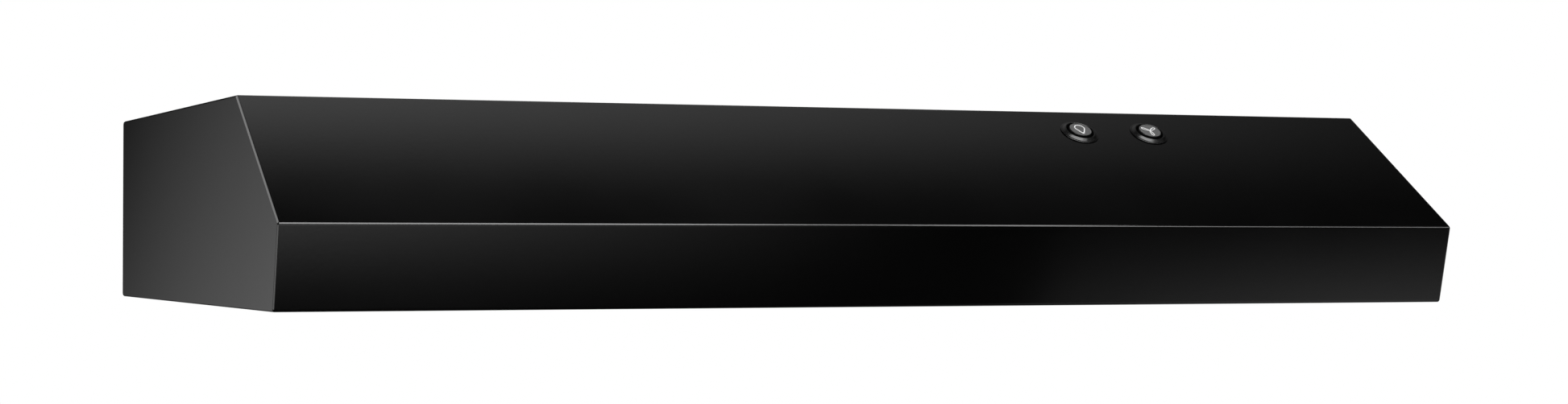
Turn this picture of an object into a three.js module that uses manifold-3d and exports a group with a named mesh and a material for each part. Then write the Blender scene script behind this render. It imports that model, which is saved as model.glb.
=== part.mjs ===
// An under-cabinet range hood, 30 inches wide: a painted sheet-steel canopy with two push buttons on its
// slope, a centrifugal blower that draws through a mesh grease filter underneath, a lamp behind a plastic
// lens, and a rectangular duct collar with a backdraft flap on top.
// Millimetres. +X runs along the hood, +Y towards the wall and +Z up. The origin is the middle of the top
// face, which goes against the underside of the cabinet.
import * as THREE from 'three';
import { mergeVertices } from 'three/addons/utils/BufferGeometryUtils.js';
import Module from 'manifold-3d';

const wasm = await Module();
wasm.setup();

// ---------------------------------------------------------------- driving dimensions
// The canopy
const WIDTH = 760;
const DEPTH = 500;
const HEIGHT = 123;
const SLOPE_RUN = 112; // how far the slope runs back from the crease to the top face
const LIP_HEIGHT = 48.5; // the upright band below the crease
const LIP_LEAN = 12; // how far the band's lower edge stands back from the crease
const SHEET = 0.6; // 24 gauge
const GAP = 0.3; // between faces that touch
const FLANGE = 12; // the end panels' turned-in edges
const RETURN = 18; // the turned-in edges round the underside
const REAR_CORNER_R = 4;
const REAR_HEM = 14; // the canopy's turned-down rear edge
const KEYHOLE_FROM_END = 85;
const KEYHOLE_FROM_EDGE = 45; // from the top of the slope
const KEYHOLE_FROM_WALL = 75;

// The underside panel and its filter
const RECESS = 14.2; // how far the panel's face is set up into the canopy
const LAMP_ZONE = 142; // from the crease back to the filter opening
const REAR_ZONE = 62; // from the wall to the filter opening
const FILTER_WIDTH = 368;
const FILTER_HEIGHT = 8.5;
const FILTER_PLAY = 1.5;
const FILTER_FLANGE = 16;
const MESH_SHEET = 0.5;
const MESH_PITCH = 12;
const TONGUE_THICK = 1.2;
const TONGUE_REACH = 8;
const TONGUE_LIFT = 0.5;
const LATCH_TRAVEL = 5;
const RAIL_WIDTH = 13;
const RAIL_HEIGHT = 16;

// The blower
const PLENUM_GAP = 16; // air space between the filter and the inlet plate
const WHEEL_R = 75;
const BLADE_DEPTH = 13;
const BLADE_COUNT = 36;
const BLADE_THICK = 1;
const WHEEL_TIP_GAP = 8; // from the wheel to the scroll's tongue
const WHEEL_TO_WALL = 190; // from the blower's axis to the wall
const TONGUE_ANGLE = 50;
const MOTOR_R = 36;
const MOTOR_BORE_GAP = 0.6;
const SHAFT_R = 4;
const HUB_R = 11;
const INLET_R = 57;

// The duct collar, for a 3 1/4 by 10 inch duct
const COLLAR_WIDTH = 252;
const COLLAR_DEPTH = 81;
const COLLAR_RISE = 12;
const COLLAR_DROP = 22;
const COLLAR_FLANGE = 6;
const COLLAR_TO_WALL = 14;
const COLLAR_CLEAR = 0.8;
const FLAP_PIVOT_DROP = 8; // from the top face down to the flap's rod
const ROD_R = 1.5;
const FLAP_CURL_R = 1.9;

// The push buttons on the slope
const BUTTONS_FROM_END = [221, 170]; // from the right-hand end to each button's centre
const BUTTON_BELOW_EDGE = 25.4; // measured down the slope
const BEZEL_R = 12.6;
const BEZEL_RISE = 1.9;
const BEZEL_BORE_R = 8.7;
const BEZEL_WALL = 1;
const CAP_R = 7.5;
const CAP_RISE = 2;
const SWITCH_SIZE = 17;
const SWITCH_DEPTH = 17;

// The lamp
const LAMP_OPENING = [160, 76];
const LAMP_FROM_CREASE = 80; // to the opening's middle
const LAMP_MARGIN = [4, 12]; // how far the lamp housing stands outside its opening
const LENS_PLAY = 1;
const LENS_WALL = 1.6;
const BULB_R = 22;
const BULB_NECK_R = 12;
const BULB_WALL = 1.2;
const BULB_MIDDLE = 40; // from the base to the middle of the globe
const BULB_BASE_R = 13;
const SOCKET_R = 16.5;

// The electrical parts
const BOX_SIZE = [90, 80, 55];
const BOX_FROM_END = 28;
const ENTRY_R = 11;
const ENTRY_DROP = 30; // from the top face down to the cable entry
const BUSHING_BORE_R = 9.25; // the supply cable's way in
const SUPPLY_HOLE_ASIDE = 26; // from the cable entry's middle to the hole for the lead that goes on
const MODULE_SIZE = [80, 92, 32];
const MODULE_WALL = 2;
const LEAD_R = 2.2;
const LEAD_END_GAP = 1;
const SCREW_HEAD_R = 4.2;
const SCREW_SHANK_R = 1.9;

// ---------------------------------------------------------------- places worked out from them
const END = WIDTH / 2;
const FRONT = -DEPTH / 2;
const WALL = DEPTH / 2;
const RIM_Z = -HEIGHT;
const SEAT = SHEET + GAP; // from one sheet's outer face to the next one's under it
const TOP_EDGE_Y = FRONT + SLOPE_RUN;
const CREASE_Z = LIP_HEIGHT - HEIGHT;
const SLOPE_ANGLE = Math.atan2(-CREASE_Z, SLOPE_RUN);
const SLOPE_LENGTH = Math.hypot(CREASE_Z, SLOPE_RUN);
const END_INNER = END - SHEET;
const CANOPY_END = END - SEAT;

const PANEL_FACE_Z = RIM_Z + RECESS;
const PANEL_TOP_Z = PANEL_FACE_Z + SHEET;
const FILTER_FRONT = FRONT + LAMP_ZONE;
const FILTER_REAR = WALL - REAR_ZONE;
const FILTER_TOP_Z = PANEL_FACE_Z + FILTER_HEIGHT;
const REAR_PANEL_Y = WALL - 2 * SEAT;

const HOUSING_TOP_Z = -SEAT;
const HOUSING_FOOT_Z = FILTER_TOP_Z + PLENUM_GAP + SEAT;
const BLOWER_Y = WALL - WHEEL_TO_WALL;
const COLLAR_REAR = WALL - COLLAR_TO_WALL;
const COLLAR_FRONT = COLLAR_REAR - COLLAR_DEPTH;
const PLENUM_HALF = COLLAR_WIDTH / 2 + COLLAR_FLANGE + 2 * SHEET + 4;
const PLENUM_REAR = COLLAR_REAR + COLLAR_FLANGE + SHEET + GAP;
const PLENUM_FRONT = COLLAR_FRONT - COLLAR_FLANGE - SHEET - 2;
const SCROLL_START_R = WHEEL_R + WHEEL_TIP_GAP;
const WHEEL_TOP_Z = HOUSING_TOP_Z - 0.27 * (HOUSING_TOP_Z - HOUSING_FOOT_Z);
const WHEEL_FOOT_Z = HOUSING_FOOT_Z + 5;
const MOTOR_TOP_Z = HOUSING_TOP_Z - SHEET - 2.4;
const MOTOR_FOOT_Z = WHEEL_FOOT_Z + 26;
const HUB_FOOT_Z = WHEEL_FOOT_Z + 8;

const LAMP_Y = FRONT + LAMP_FROM_CREASE;
const LAMP_X = LAMP_OPENING[0] / 2;
const LAMP_FRONT = LAMP_Y - LAMP_OPENING[1] / 2;
const LAMP_REAR = LAMP_Y + LAMP_OPENING[1] / 2;
const LAMP_TOP_Z = slopeZ(LAMP_FRONT - LAMP_MARGIN[0]) - SHEET / Math.cos(SLOPE_ANGLE) - 2;
const BULB_Z = (LAMP_TOP_Z - SHEET + PANEL_FACE_Z) / 2;
const SOCKET_X = [LAMP_X + LAMP_MARGIN[0] - SHEET - GAP - 38, LAMP_X + LAMP_MARGIN[0] - SHEET - GAP];

const BOX_X = [END - BOX_FROM_END - BOX_SIZE[0], END - BOX_FROM_END];
const BOX_Y = [REAR_PANEL_Y - SEAT - BOX_SIZE[1], REAR_PANEL_Y - SEAT];
const BOX_Z = [-2 * SEAT - BOX_SIZE[2], -2 * SEAT];
const ENTRY = [(BOX_X[0] + BOX_X[1]) / 2, WALL, -ENTRY_DROP];
const SUPPLY_HOLE_X = ENTRY[0] + SUPPLY_HOLE_ASIDE;
const MODULE_X = [END - BOX_FROM_END - MODULE_SIZE[0], END - BOX_FROM_END];
const MODULE_Y = [BOX_Y[0] - 115 - MODULE_SIZE[1], BOX_Y[0] - 115];
const MODULE_Z = [-2 * SEAT - MODULE_SIZE[2], -2 * SEAT];

function slopeZ(y) {
  return CREASE_Z - (CREASE_Z * (y - FRONT)) / SLOPE_RUN;
}

// ---------------------------------------------------------------- materials
function finish(color, roughness, metalness) {
  return new THREE.MeshStandardMaterial({ color, roughness, metalness });
}

const blackPaint = finish(0x0b0c0c, 0.3, 0.2);
const galvanised = finish(0x9a9fa3, 0.5, 0.8);
const steel = finish(0xb4b6b8, 0.35, 0.9);
const aluminium = finish(0xc0c3c6, 0.4, 0.9);
const blackPlastic = finish(0x1b1c1d, 0.45, 0);
const greyPlastic = finish(0x3a3c3e, 0.5, 0);
const lensPlastic = finish(0xe9ece8, 0.35, 0);
const glass = finish(0xf2f4f2, 0.15, 0);
const porcelain = finish(0xe6e2d8, 0.4, 0);
const rubber = finish(0x161616, 0.8, 0);

// ---------------------------------------------------------------- solids
function solid(geometry) {
  const bare = geometry.index ? geometry.toNonIndexed() : geometry.clone();
  bare.deleteAttribute('normal');
  bare.deleteAttribute('uv');
  const merged = mergeVertices(bare, 1e-4);
  const mesh = new wasm.Mesh({
    numProp: 3,
    vertProperties: merged.attributes.position.array,
    triVerts: new Uint32Array(merged.index.array),
  });
  return new wasm.Manifold(mesh);
}

function geometryOf(shape) {
  const mesh = shape.getMesh();
  const geometry = new THREE.BufferGeometry();
  geometry.setAttribute('position', new THREE.BufferAttribute(mesh.vertProperties, 3));
  geometry.setIndex(new THREE.BufferAttribute(mesh.triVerts, 1));
  const flat = geometry.toNonIndexed();
  flat.computeVertexNormals();
  return flat;
}

function join(first, ...others) {
  return others.reduce((sum, other) => sum.add(other), first);
}

function cut(first, ...others) {
  return others.reduce((rest, other) => rest.subtract(other), first);
}

function block(x, y, z) {
  const box = new THREE.BoxGeometry(x[1] - x[0], y[1] - y[0], z[1] - z[0]);
  box.translate((x[0] + x[1]) / 2, (y[0] + y[1]) / 2, (z[0] + z[1]) / 2);
  return solid(box);
}

// A cylinder along X, Y or Z, from one place to another on that axis.
function cylinder(radius, axis, centre, from, to, sides = 20) {
  const made = new THREE.CylinderGeometry(radius, radius, to - from, sides);
  made.translate(0, (from + to) / 2, 0);
  if (axis === 'z') made.rotateX(Math.PI / 2).translate(centre[0], centre[1], 0);
  if (axis === 'y') made.translate(centre[0], 0, centre[1]);
  if (axis === 'x') made.rotateZ(-Math.PI / 2).translate(0, centre[0], centre[1]);
  return solid(made);
}

// A closed profile of [radius, height] pairs, anticlockwise, turned round the Z axis.
function turned(profile, segments) {
  const closed = profile[0][0] === 0 ? profile : [...profile, profile[0]];
  const points = closed.map(([r, z]) => new THREE.Vector2(r, z));
  return new THREE.LatheGeometry(points, segments).rotateX(Math.PI / 2);
}

// An outline of [x, y] pairs, drawn up along Z, with any holes left open.
function plate(outline, z, holes = []) {
  const shape = new THREE.Shape(outline.map(([x, y]) => new THREE.Vector2(x, y)));
  shape.holes = holes.map((hole) => new THREE.Path(hole.map(([x, y]) => new THREE.Vector2(x, y))));
  const made = new THREE.ExtrudeGeometry(shape, { depth: z[1] - z[0], bevelEnabled: false });
  return solid(made.translate(0, 0, z[0]));
}

// An outline of [y, z] pairs, drawn out along X.
function beam(outline, x) {
  const shape = new THREE.Shape(outline.map(([y, z]) => new THREE.Vector2(y, z)));
  const made = new THREE.ExtrudeGeometry(shape, { depth: x[1] - x[0], bevelEnabled: false });
  made.translate(0, 0, x[0]);
  const turn = new THREE.Matrix4().makeBasis(
    new THREE.Vector3(0, 1, 0),
    new THREE.Vector3(0, 0, 1),
    new THREE.Vector3(1, 0, 0),
  );
  return solid(made.applyMatrix4(turn));
}

// Moves an open path to its left by a distance, with mitred corners.
function offset(path, distance) {
  const points = path.map(([a, b]) => new THREE.Vector2(a, b));
  const lefts = points.slice(1).map((p, i) => {
    const along = p.clone().sub(points[i]).normalize();
    return new THREE.Vector2(-along.y, along.x);
  });
  return points.map((p, i) => {
    const before = lefts[Math.max(i - 1, 0)];
    const after = lefts[Math.min(i, lefts.length - 1)];
    const mitre = before.clone().add(after).normalize();
    const reach = distance / mitre.dot(after);
    return [p.x + mitre.x * reach, p.y + mitre.y * reach];
  });
}

// The section of a sheet that follows an open path, with its thickness to the path's left.
function bent(path, thickness = SHEET) {
  return [...path, ...offset(path, thickness).reverse()];
}

// Moves a closed anticlockwise outline inwards.
function inset(outline, distance) {
  const around = [outline[outline.length - 1], ...outline, outline[0]];
  return offset(around, distance).slice(1, -1);
}

// A rectangle from its two corners, anticlockwise.
function rectangle(x, y) {
  return [[x[0], y[0]], [x[1], y[0]], [x[1], y[1]], [x[0], y[1]]];
}

function circle(radius, centre, sides = 24) {
  return Array.from({ length: sides }, (_, i) => {
    const angle = (2 * Math.PI * i) / sides;
    return [centre[0] + radius * Math.cos(angle), centre[1] + radius * Math.sin(angle)];
  });
}

// Rounds the corners of a closed outline, each by its own radius.
function rounded(outline, radii, steps = 4) {
  const count = outline.length;
  return outline.flatMap((corner, i) => {
    if (!radii[i]) return [corner];
    const here = new THREE.Vector2(...corner);
    const back = new THREE.Vector2(...outline[(i + count - 1) % count]).sub(here).normalize();
    const on = new THREE.Vector2(...outline[(i + 1) % count]).sub(here).normalize();
    const half = back.angleTo(on) / 2;
    const middle = back.clone().add(on).normalize();
    const centre = here.clone().add(middle.multiplyScalar(radii[i] / Math.sin(half)));
    const start = here.clone().add(back.multiplyScalar(radii[i] / Math.tan(half))).sub(centre);
    const sweep = Math.PI - 2 * half;
    return Array.from({ length: steps + 1 }, (_, k) => {
      const turn = start.clone().rotateAround(new THREE.Vector2(), (sweep * k) / steps);
      return [centre.x + turn.x, centre.y + turn.y];
    });
  });
}

// ---------------------------------------------------------------- the model
const hood = new THREE.Group();

function place(name, shape, material, parent = hood) {
  const geometry = shape.isBufferGeometry ? shape : geometryOf(shape);
  const mesh = new THREE.Mesh(geometry, material);
  mesh.name = name;
  parent.add(mesh);
  return mesh;
}

// The outer line of the end view, anticlockwise from the rear top corner: [y, z] pairs.
const endLine = [
  [WALL, 0],
  [TOP_EDGE_Y, 0],
  [FRONT, CREASE_Z],
  [FRONT + LIP_LEAN, RIM_Z],
  [WALL, RIM_Z],
];

function makeKeyhole(x, y) {
  const head = cylinder(4.5, 'z', [x, y], -5, 5);
  const neck = block([x - 2.5, x + 2.5], [y, y + 12], [-5, 5]);
  return head.add(neck);
}

// One sheet bent four times: rear hem, top, slope, front band and the turned-in bottom edge.
function makeCanopy() {
  const line = [
    [WALL, -REAR_HEM],
    ...endLine.slice(0, 4),
    [FRONT + LIP_LEAN + RETURN, RIM_Z],
    [FRONT + LIP_LEAN + RETURN, RIM_Z + 7],
  ];
  const sheet = beam(bent(line), [-CANOPY_END, CANOPY_END]);
  const duct = block(
    [-COLLAR_WIDTH / 2 - COLLAR_CLEAR, COLLAR_WIDTH / 2 + COLLAR_CLEAR],
    [COLLAR_FRONT - COLLAR_CLEAR, COLLAR_REAR + COLLAR_CLEAR],
    [-5, 5],
  );
  const keyholes = [-1, 1].flatMap((side) => [
    makeKeyhole(side * (END - KEYHOLE_FROM_END), TOP_EDGE_Y + KEYHOLE_FROM_EDGE),
    makeKeyhole(side * (END - KEYHOLE_FROM_END), WALL - KEYHOLE_FROM_WALL),
  ]);
  const buttonHoles = BUTTONS_FROM_END.map((fromEnd) => {
    const radius = BEZEL_BORE_R + BEZEL_WALL + GAP;
    const hole = new THREE.CylinderGeometry(radius, radius, 10, 24);
    hole.rotateX(Math.PI / 2 + SLOPE_ANGLE);
    return solid(hole.translate(...buttonPlace(fromEnd)));
  });
  return cut(sheet, duct, ...keyholes, ...buttonHoles);
}

// The middle of a button on the slope's outer face.
function buttonPlace(fromEnd) {
  return [
    END - fromEnd,
    TOP_EDGE_Y - BUTTON_BELOW_EDGE * Math.cos(SLOPE_ANGLE),
    -BUTTON_BELOW_EDGE * Math.sin(SLOPE_ANGLE),
  ];
}

// The right-hand end panel: a plate of the whole end view, with edges turned in under the canopy.
function makeEndPanel(side) {
  const corners = rounded(endLine, [REAR_CORNER_R, 0, 0, 0, REAR_CORNER_R]);
  const face = beam(corners, [END_INNER, END]);
  const under = inset(endLine, SEAT);
  const upperEdge = beam(
    bent([[under[0][0], RIM_Z + 8], ...under.slice(0, 3), [under[3][0] - 0.5, RIM_Z + 4]]),
    [END_INNER - FLANGE, END_INNER + SHEET / 2],
  );
  const lowerEdge = block(
    [END_INNER - FLANGE, END_INNER + SHEET / 2],
    [FRONT + LIP_LEAN + RETURN + 2, REAR_PANEL_Y - RETURN - 2],
    [RIM_Z, RIM_Z + SHEET],
  );
  const panel = join(face, upperEdge, lowerEdge);
  return side > 0 ? panel : panel.mirror([1, 0, 0]);
}

// The rear panel, lapped inside the end panels' rear edges, with its bottom edge turned in.
function makeRearPanel() {
  const line = [
    [REAR_PANEL_Y - RETURN, RIM_Z],
    [REAR_PANEL_Y, RIM_Z],
    [REAR_PANEL_Y, -2 * SEAT],
  ];
  const sheet = beam(bent(line), [-CANOPY_END, CANOPY_END]);
  const entry = cylinder(ENTRY_R, 'y', [ENTRY[0], ENTRY[2]], REAR_PANEL_Y - 5, REAR_PANEL_Y + 5);
  const slots = [-1, 1].map((side) =>
    block([side * 240 - 3, side * 240 + 3], [REAR_PANEL_Y - 5, REAR_PANEL_Y + 5], [-70, -50]),
  );
  return cut(sheet, entry, ...slots);
}

// The panel that closes the underside, with openings for the filter and the lamp.
function makeUndersidePanel() {
  const x = CANOPY_END - 1;
  const y = [FRONT + LIP_LEAN - 0.5, REAR_PANEL_Y - SEAT - 1];
  const holes = [
    rectangle([-FILTER_WIDTH / 2, FILTER_WIDTH / 2], [FILTER_FRONT, FILTER_REAR]),
    rectangle([-LAMP_X, LAMP_X], [LAMP_FRONT, LAMP_REAR]),
    ...panelScrewPlaces().map((at) => circle(SCREW_SHANK_R + GAP, at, 12)),
  ];
  const floor = plate(rectangle([-x, x], y), [PANEL_FACE_Z, PANEL_TOP_Z], holes);
  const frontEdge = block([-x, x], [y[0], y[0] + SHEET], [PANEL_FACE_Z, PANEL_TOP_Z + 8]);
  const rearEdge = block([-x, x], [y[1] - SHEET, y[1]], [PANEL_FACE_Z, PANEL_TOP_Z + 8]);
  return join(floor, frontEdge, rearEdge);
}

function panelScrewPlaces() {
  const x = CANOPY_END - RAIL_WIDTH / 2 - 0.5;
  return [-1, 1].flatMap((side) => [[side * x, FRONT + 70], [side * x, WALL - 70]]);
}

// An L-shaped rail on the end panel that the underside panel is screwed to.
function makeRail(side) {
  const foot = PANEL_TOP_Z + GAP;
  const x = [CANOPY_END - RAIL_WIDTH, CANOPY_END];
  const y = [FRONT + 40, WALL - 40];
  const shelf = block(x, y, [foot, foot + SHEET]);
  const web = block([CANOPY_END - SHEET, CANOPY_END], y, [foot, foot + RAIL_HEIGHT]);
  const holes = [FRONT + 70, WALL - 70].map((at) =>
    cylinder(SCREW_SHANK_R + GAP, 'z', [x[1] - RAIL_WIDTH / 2 - 0.5, at], foot - 2, foot + 3, 12),
  );
  const rail = cut(join(shelf, web), ...holes);
  return side > 0 ? rail : rail.mirror([1, 0, 0]);
}

// A pan-head screw whose head lies under a face at height z and whose shank goes up.
function makeScrew(x, y, z, length = 8) {
  const profile = [
    [0, -2.2],
    [SCREW_HEAD_R - 1.4, -2.2],
    [SCREW_HEAD_R, -1],
    [SCREW_HEAD_R, 0],
    [SCREW_SHANK_R, 0],
    [SCREW_SHANK_R, length],
    [0, length + 1.5],
  ];
  return turned(profile, 8).translate(x, y, z - GAP);
}

// ---------------------------------------------------------------- the blower
// The scroll's outer line in plan, anticlockwise: the box under the collar, then the spiral round the wheel.
function scrollLine(spread = 0) {
  const turns = 20;
  const sweep = 180 + TONGUE_ANGLE;
  const spiral = Array.from({ length: turns + 1 }, (_, i) => {
    const angle = THREE.MathUtils.degToRad(-180 + (sweep * i) / turns);
    const radius = PLENUM_HALF + ((SCROLL_START_R - PLENUM_HALF) * i) / turns;
    return [radius * Math.cos(angle), BLOWER_Y + radius * Math.sin(angle)];
  });
  const box = [[PLENUM_HALF, PLENUM_FRONT], [PLENUM_HALF, PLENUM_REAR], [-PLENUM_HALF, PLENUM_REAR]];
  return spread ? inset([...box, ...spiral], -spread) : [...box, ...spiral];
}

function inletScrewPlaces() {
  const reach = PLENUM_HALF + 5;
  return [
    [-reach, BLOWER_Y],
    [-reach, PLENUM_REAR - 40],
    [reach, PLENUM_REAR - 40],
    [0, BLOWER_Y - scrollRadius(-90) - 5],
  ];
}

function scrollRadius(degrees) {
  const share = (degrees + 180) / (180 + TONGUE_ANGLE);
  return PLENUM_HALF + (SCROLL_START_R - PLENUM_HALF) * share;
}

// The scroll wall and its top plate, with a foot flange that takes the inlet plate's screws.
function makeHousing() {
  const line = scrollLine();
  const inner = inset(line, SHEET);
  const wall = plate(line, [HOUSING_FOOT_Z, HOUSING_TOP_Z], [inner]);
  const collarHole = rectangle(
    [-COLLAR_WIDTH / 2 - COLLAR_FLANGE - 1, COLLAR_WIDTH / 2 + COLLAR_FLANGE + 1],
    [COLLAR_FRONT - COLLAR_FLANGE - 1, COLLAR_REAR + COLLAR_FLANGE + 0.5],
  );
  const lid = plate(line, [HOUSING_TOP_Z - SHEET, HOUSING_TOP_Z], [collarHole]);
  const tabs = inletScrewPlaces().map(([x, y]) => {
    const inward = x === 0 ? [0, 8] : [-8 * Math.sign(x), 0];
    const tab = block(
      [Math.min(x, x + inward[0]) - 6, Math.max(x, x + inward[0]) + 6],
      [Math.min(y, y + inward[1]) - 6, Math.max(y, y + inward[1]) + 6],
      [HOUSING_FOOT_Z, HOUSING_FOOT_Z + SHEET],
    );
    const screwHole = cylinder(SCREW_SHANK_R + GAP, 'z', [x, y], HOUSING_FOOT_Z - 2, HOUSING_FOOT_Z + 4, 12);
    return cut(tab, plate(inner, [HOUSING_FOOT_Z - 1, HOUSING_FOOT_Z + 2]), screwHole);
  });
  const leadHole = cylinder(LEAD_R + 1, 'x', [BLOWER_Y, motorLeadZ()], 60, PLENUM_HALF + 20, 12);
  return cut(join(wall, lid, ...tabs), leadHole);
}

function motorLeadZ() {
  return (HOUSING_TOP_Z - SHEET + WHEEL_TOP_Z) / 2;
}

// The plate under the scroll, with a rolled mouth that guides air into the wheel.
function makeInletPlate() {
  const z = [HOUSING_FOOT_Z - SEAT, HOUSING_FOOT_Z - GAP];
  const tabs = inletScrewPlaces().map(([x, y]) => {
    const inward = x === 0 ? [0, 8] : [-8 * Math.sign(x), 0];
    return block(
      [Math.min(x, x + inward[0]) - 6, Math.max(x, x + inward[0]) + 6],
      [Math.min(y, y + inward[1]) - 6, Math.max(y, y + inward[1]) + 6],
      z,
    );
  });
  const floor = join(plate(scrollLine(), z), ...tabs);
  const mouth = turned(
    [
      [INLET_R + 4, z[0]],
      [INLET_R + 9, z[0]],
      [INLET_R + 9, z[1]],
      [INLET_R + 5, z[1]],
      [INLET_R + 1.2, z[1] + 3],
      [INLET_R + 0.8, z[1] + 8],
      [INLET_R, z[1] + 8],
      [INLET_R, z[1] + 2.5],
    ],
    28,
  ).translate(0, BLOWER_Y, 0);
  const opening = cylinder(INLET_R + 6, 'z', [0, BLOWER_Y], z[0] - 1, z[1] + 1, 28);
  const screwHoles = inletScrewPlaces().map((at) =>
    cylinder(SCREW_SHANK_R + GAP, 'z', at, z[0] - 2, z[1] + 2, 12),
  );
  return cut(cut(floor, opening).add(solid(mouth)), ...screwHoles);
}

// One forward-curved blade at angle zero, as an outline in plan.
function bladeOutline() {
  const inner = WHEEL_R - BLADE_DEPTH;
  const middle = [0, 0.55, 1].map((share) => {
    const angle = THREE.MathUtils.degToRad(-8 * share * share);
    const radius = inner + (BLADE_DEPTH - 0.5) * share;
    return [radius * Math.cos(angle), radius * Math.sin(angle)];
  });
  return [...offset(middle, -BLADE_THICK / 2), ...offset(middle, BLADE_THICK / 2).reverse()];
}

// The squirrel-cage wheel: a dished back that wraps round the motor, a ring of blades and a front ring.
function makeWheel() {
  const dishR = MOTOR_R + 5;
  const dishZ = HUB_FOOT_Z + 9;
  const back = turned(
    [
      [SHAFT_R + GAP, HUB_FOOT_Z],
      [HUB_R, HUB_FOOT_Z],
      [HUB_R, dishZ - 2],
      [dishR, dishZ - 1],
      [dishR + 12, WHEEL_TOP_Z - 1.5],
      [WHEEL_R, WHEEL_TOP_Z - 1.5],
      [WHEEL_R, WHEEL_TOP_Z],
      [dishR + 11, WHEEL_TOP_Z],
      [dishR - 1, dishZ + 0.5],
      [HUB_R, dishZ],
      [HUB_R, dishZ + 4],
      [SHAFT_R + GAP, dishZ + 4],
    ],
    36,
  );
  const frontRing = turned(
    [
      [WHEEL_R - BLADE_DEPTH, WHEEL_FOOT_Z],
      [WHEEL_R + 1, WHEEL_FOOT_Z],
      [WHEEL_R + 1, WHEEL_FOOT_Z + 2.5],
      [WHEEL_R - BLADE_DEPTH, WHEEL_FOOT_Z + 1.2],
    ],
    36,
  );
  const blade = plate(bladeOutline(), [WHEEL_FOOT_Z + 0.6, WHEEL_TOP_Z - 0.7]);
  const blades = Array.from({ length: BLADE_COUNT }, (_, i) => blade.rotate([0, 0, (360 * i) / BLADE_COUNT]));
  return join(solid(back), solid(frontRing), ...blades).translate([0, BLOWER_Y, 0]);
}

function makeMotor() {
  const profile = [
    [0, MOTOR_FOOT_Z + 8],
    [SHAFT_R + MOTOR_BORE_GAP, MOTOR_FOOT_Z + 8],
    [SHAFT_R + MOTOR_BORE_GAP, MOTOR_FOOT_Z - 2],
    [HUB_R, MOTOR_FOOT_Z - 2],
    [HUB_R, MOTOR_FOOT_Z],
    [MOTOR_R - 3, MOTOR_FOOT_Z],
    [MOTOR_R, MOTOR_FOOT_Z + 3],
    [MOTOR_R, MOTOR_TOP_Z - 2],
    [MOTOR_R - 2, MOTOR_TOP_Z],
    [0, MOTOR_TOP_Z],
  ];
  return turned(profile, 20).translate(0, BLOWER_Y, 0);
}

// The plate that carries the motor, with three arms that reach out under the scroll's lid.
function makeMotorBracket() {
  const z = [MOTOR_TOP_Z + GAP, HOUSING_TOP_Z - SHEET - GAP];
  const disc = cylinder(MOTOR_R - 4, 'z', [0, 0], z[0], z[1], 24);
  const arm = block([0, MOTOR_R + 14], [-9, 9], z);
  const arms = [30, 150, 270].map((angle) => arm.rotate([0, 0, angle]));
  return join(disc, ...arms).translate([0, BLOWER_Y, 0]);
}

function makeShaft() {
  return cylinder(SHAFT_R, 'z', [0, BLOWER_Y], HUB_FOOT_Z - 9, MOTOR_FOOT_Z + 7, 16);
}

function makeWheelNut() {
  const nut = cylinder(7.5, 'z', [0, BLOWER_Y], HUB_FOOT_Z - 7, HUB_FOOT_Z - GAP, 6);
  const thread = cylinder(SHAFT_R + GAP, 'z', [0, BLOWER_Y], HUB_FOOT_Z - 9, HUB_FOOT_Z + 1, 16);
  return cut(nut, thread);
}

function makeCapacitor() {
  const x = [PLENUM_HALF + 14, PLENUM_HALF + 14 + 46];
  return block(x, [BLOWER_Y + 35, BLOWER_Y + 63], [-2 * SEAT - 24, -2 * SEAT]);
}

// ---------------------------------------------------------------- the duct collar
function collarOutline(spread = 0) {
  return rectangle(
    [-COLLAR_WIDTH / 2 - spread, COLLAR_WIDTH / 2 + spread],
    [COLLAR_FRONT - spread, COLLAR_REAR + spread],
  );
}

const FLAP_PIVOT = [COLLAR_REAR - SHEET - FLAP_CURL_R - SHEET - 1.5, -FLAP_PIVOT_DROP];
const FLAP_FOOT_Z = FLAP_PIVOT[1] - FLAP_CURL_R - SHEET;

// The spigot that the duct slips over, its flange under the top face, and the ledge that the flap rests on.
function makeCollar() {
  const inner = inset(collarOutline(), SHEET);
  const tube = plate(collarOutline(), [-COLLAR_DROP, COLLAR_RISE], [inner]);
  const flange = plate(collarOutline(COLLAR_FLANGE), [-SEAT - SHEET, -SEAT], [inner]);
  const ledge = block(
    [-COLLAR_WIDTH / 2 + SHEET / 2, COLLAR_WIDTH / 2 - SHEET / 2],
    [COLLAR_FRONT + SHEET / 2, COLLAR_FRONT + SHEET + 5],
    [FLAP_FOOT_Z - SEAT, FLAP_FOOT_Z - GAP],
  );
  const rodHole = cylinder(ROD_R + GAP, 'x', FLAP_PIVOT, -COLLAR_WIDTH, COLLAR_WIDTH, 12);
  return cut(join(tube, flange, ledge), rodHole);
}

function makeFlapRod() {
  const reach = COLLAR_WIDTH / 2 + 2;
  return cylinder(ROD_R, 'x', FLAP_PIVOT, -reach, reach, 12);
}

// The backdraft flap: a light plate whose rear edge is curled round the rod.
function makeFlap() {
  const reach = COLLAR_WIDTH / 2 - SHEET - 1.5;
  const curl = cylinder(FLAP_CURL_R + SHEET, 'x', FLAP_PIVOT, -reach, reach, 16);
  const leaf = block(
    [-reach, reach],
    [COLLAR_FRONT + SHEET + 2, FLAP_PIVOT[0]],
    [FLAP_FOOT_Z, FLAP_FOOT_Z + SHEET],
  );
  const stiffeners = [-0.5, 0.5].map((share) =>
    block(
      [reach * share - 4, reach * share + 4],
      [COLLAR_FRONT + 14, FLAP_PIVOT[0] - 14],
      [FLAP_FOOT_Z + SHEET / 2, FLAP_FOOT_Z + SHEET + 1.2],
    ),
  );
  const bore = cylinder(FLAP_CURL_R, 'x', FLAP_PIVOT, -reach - 2, reach + 2, 16);
  return cut(join(leaf, curl, ...stiffeners), bore);
}

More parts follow.
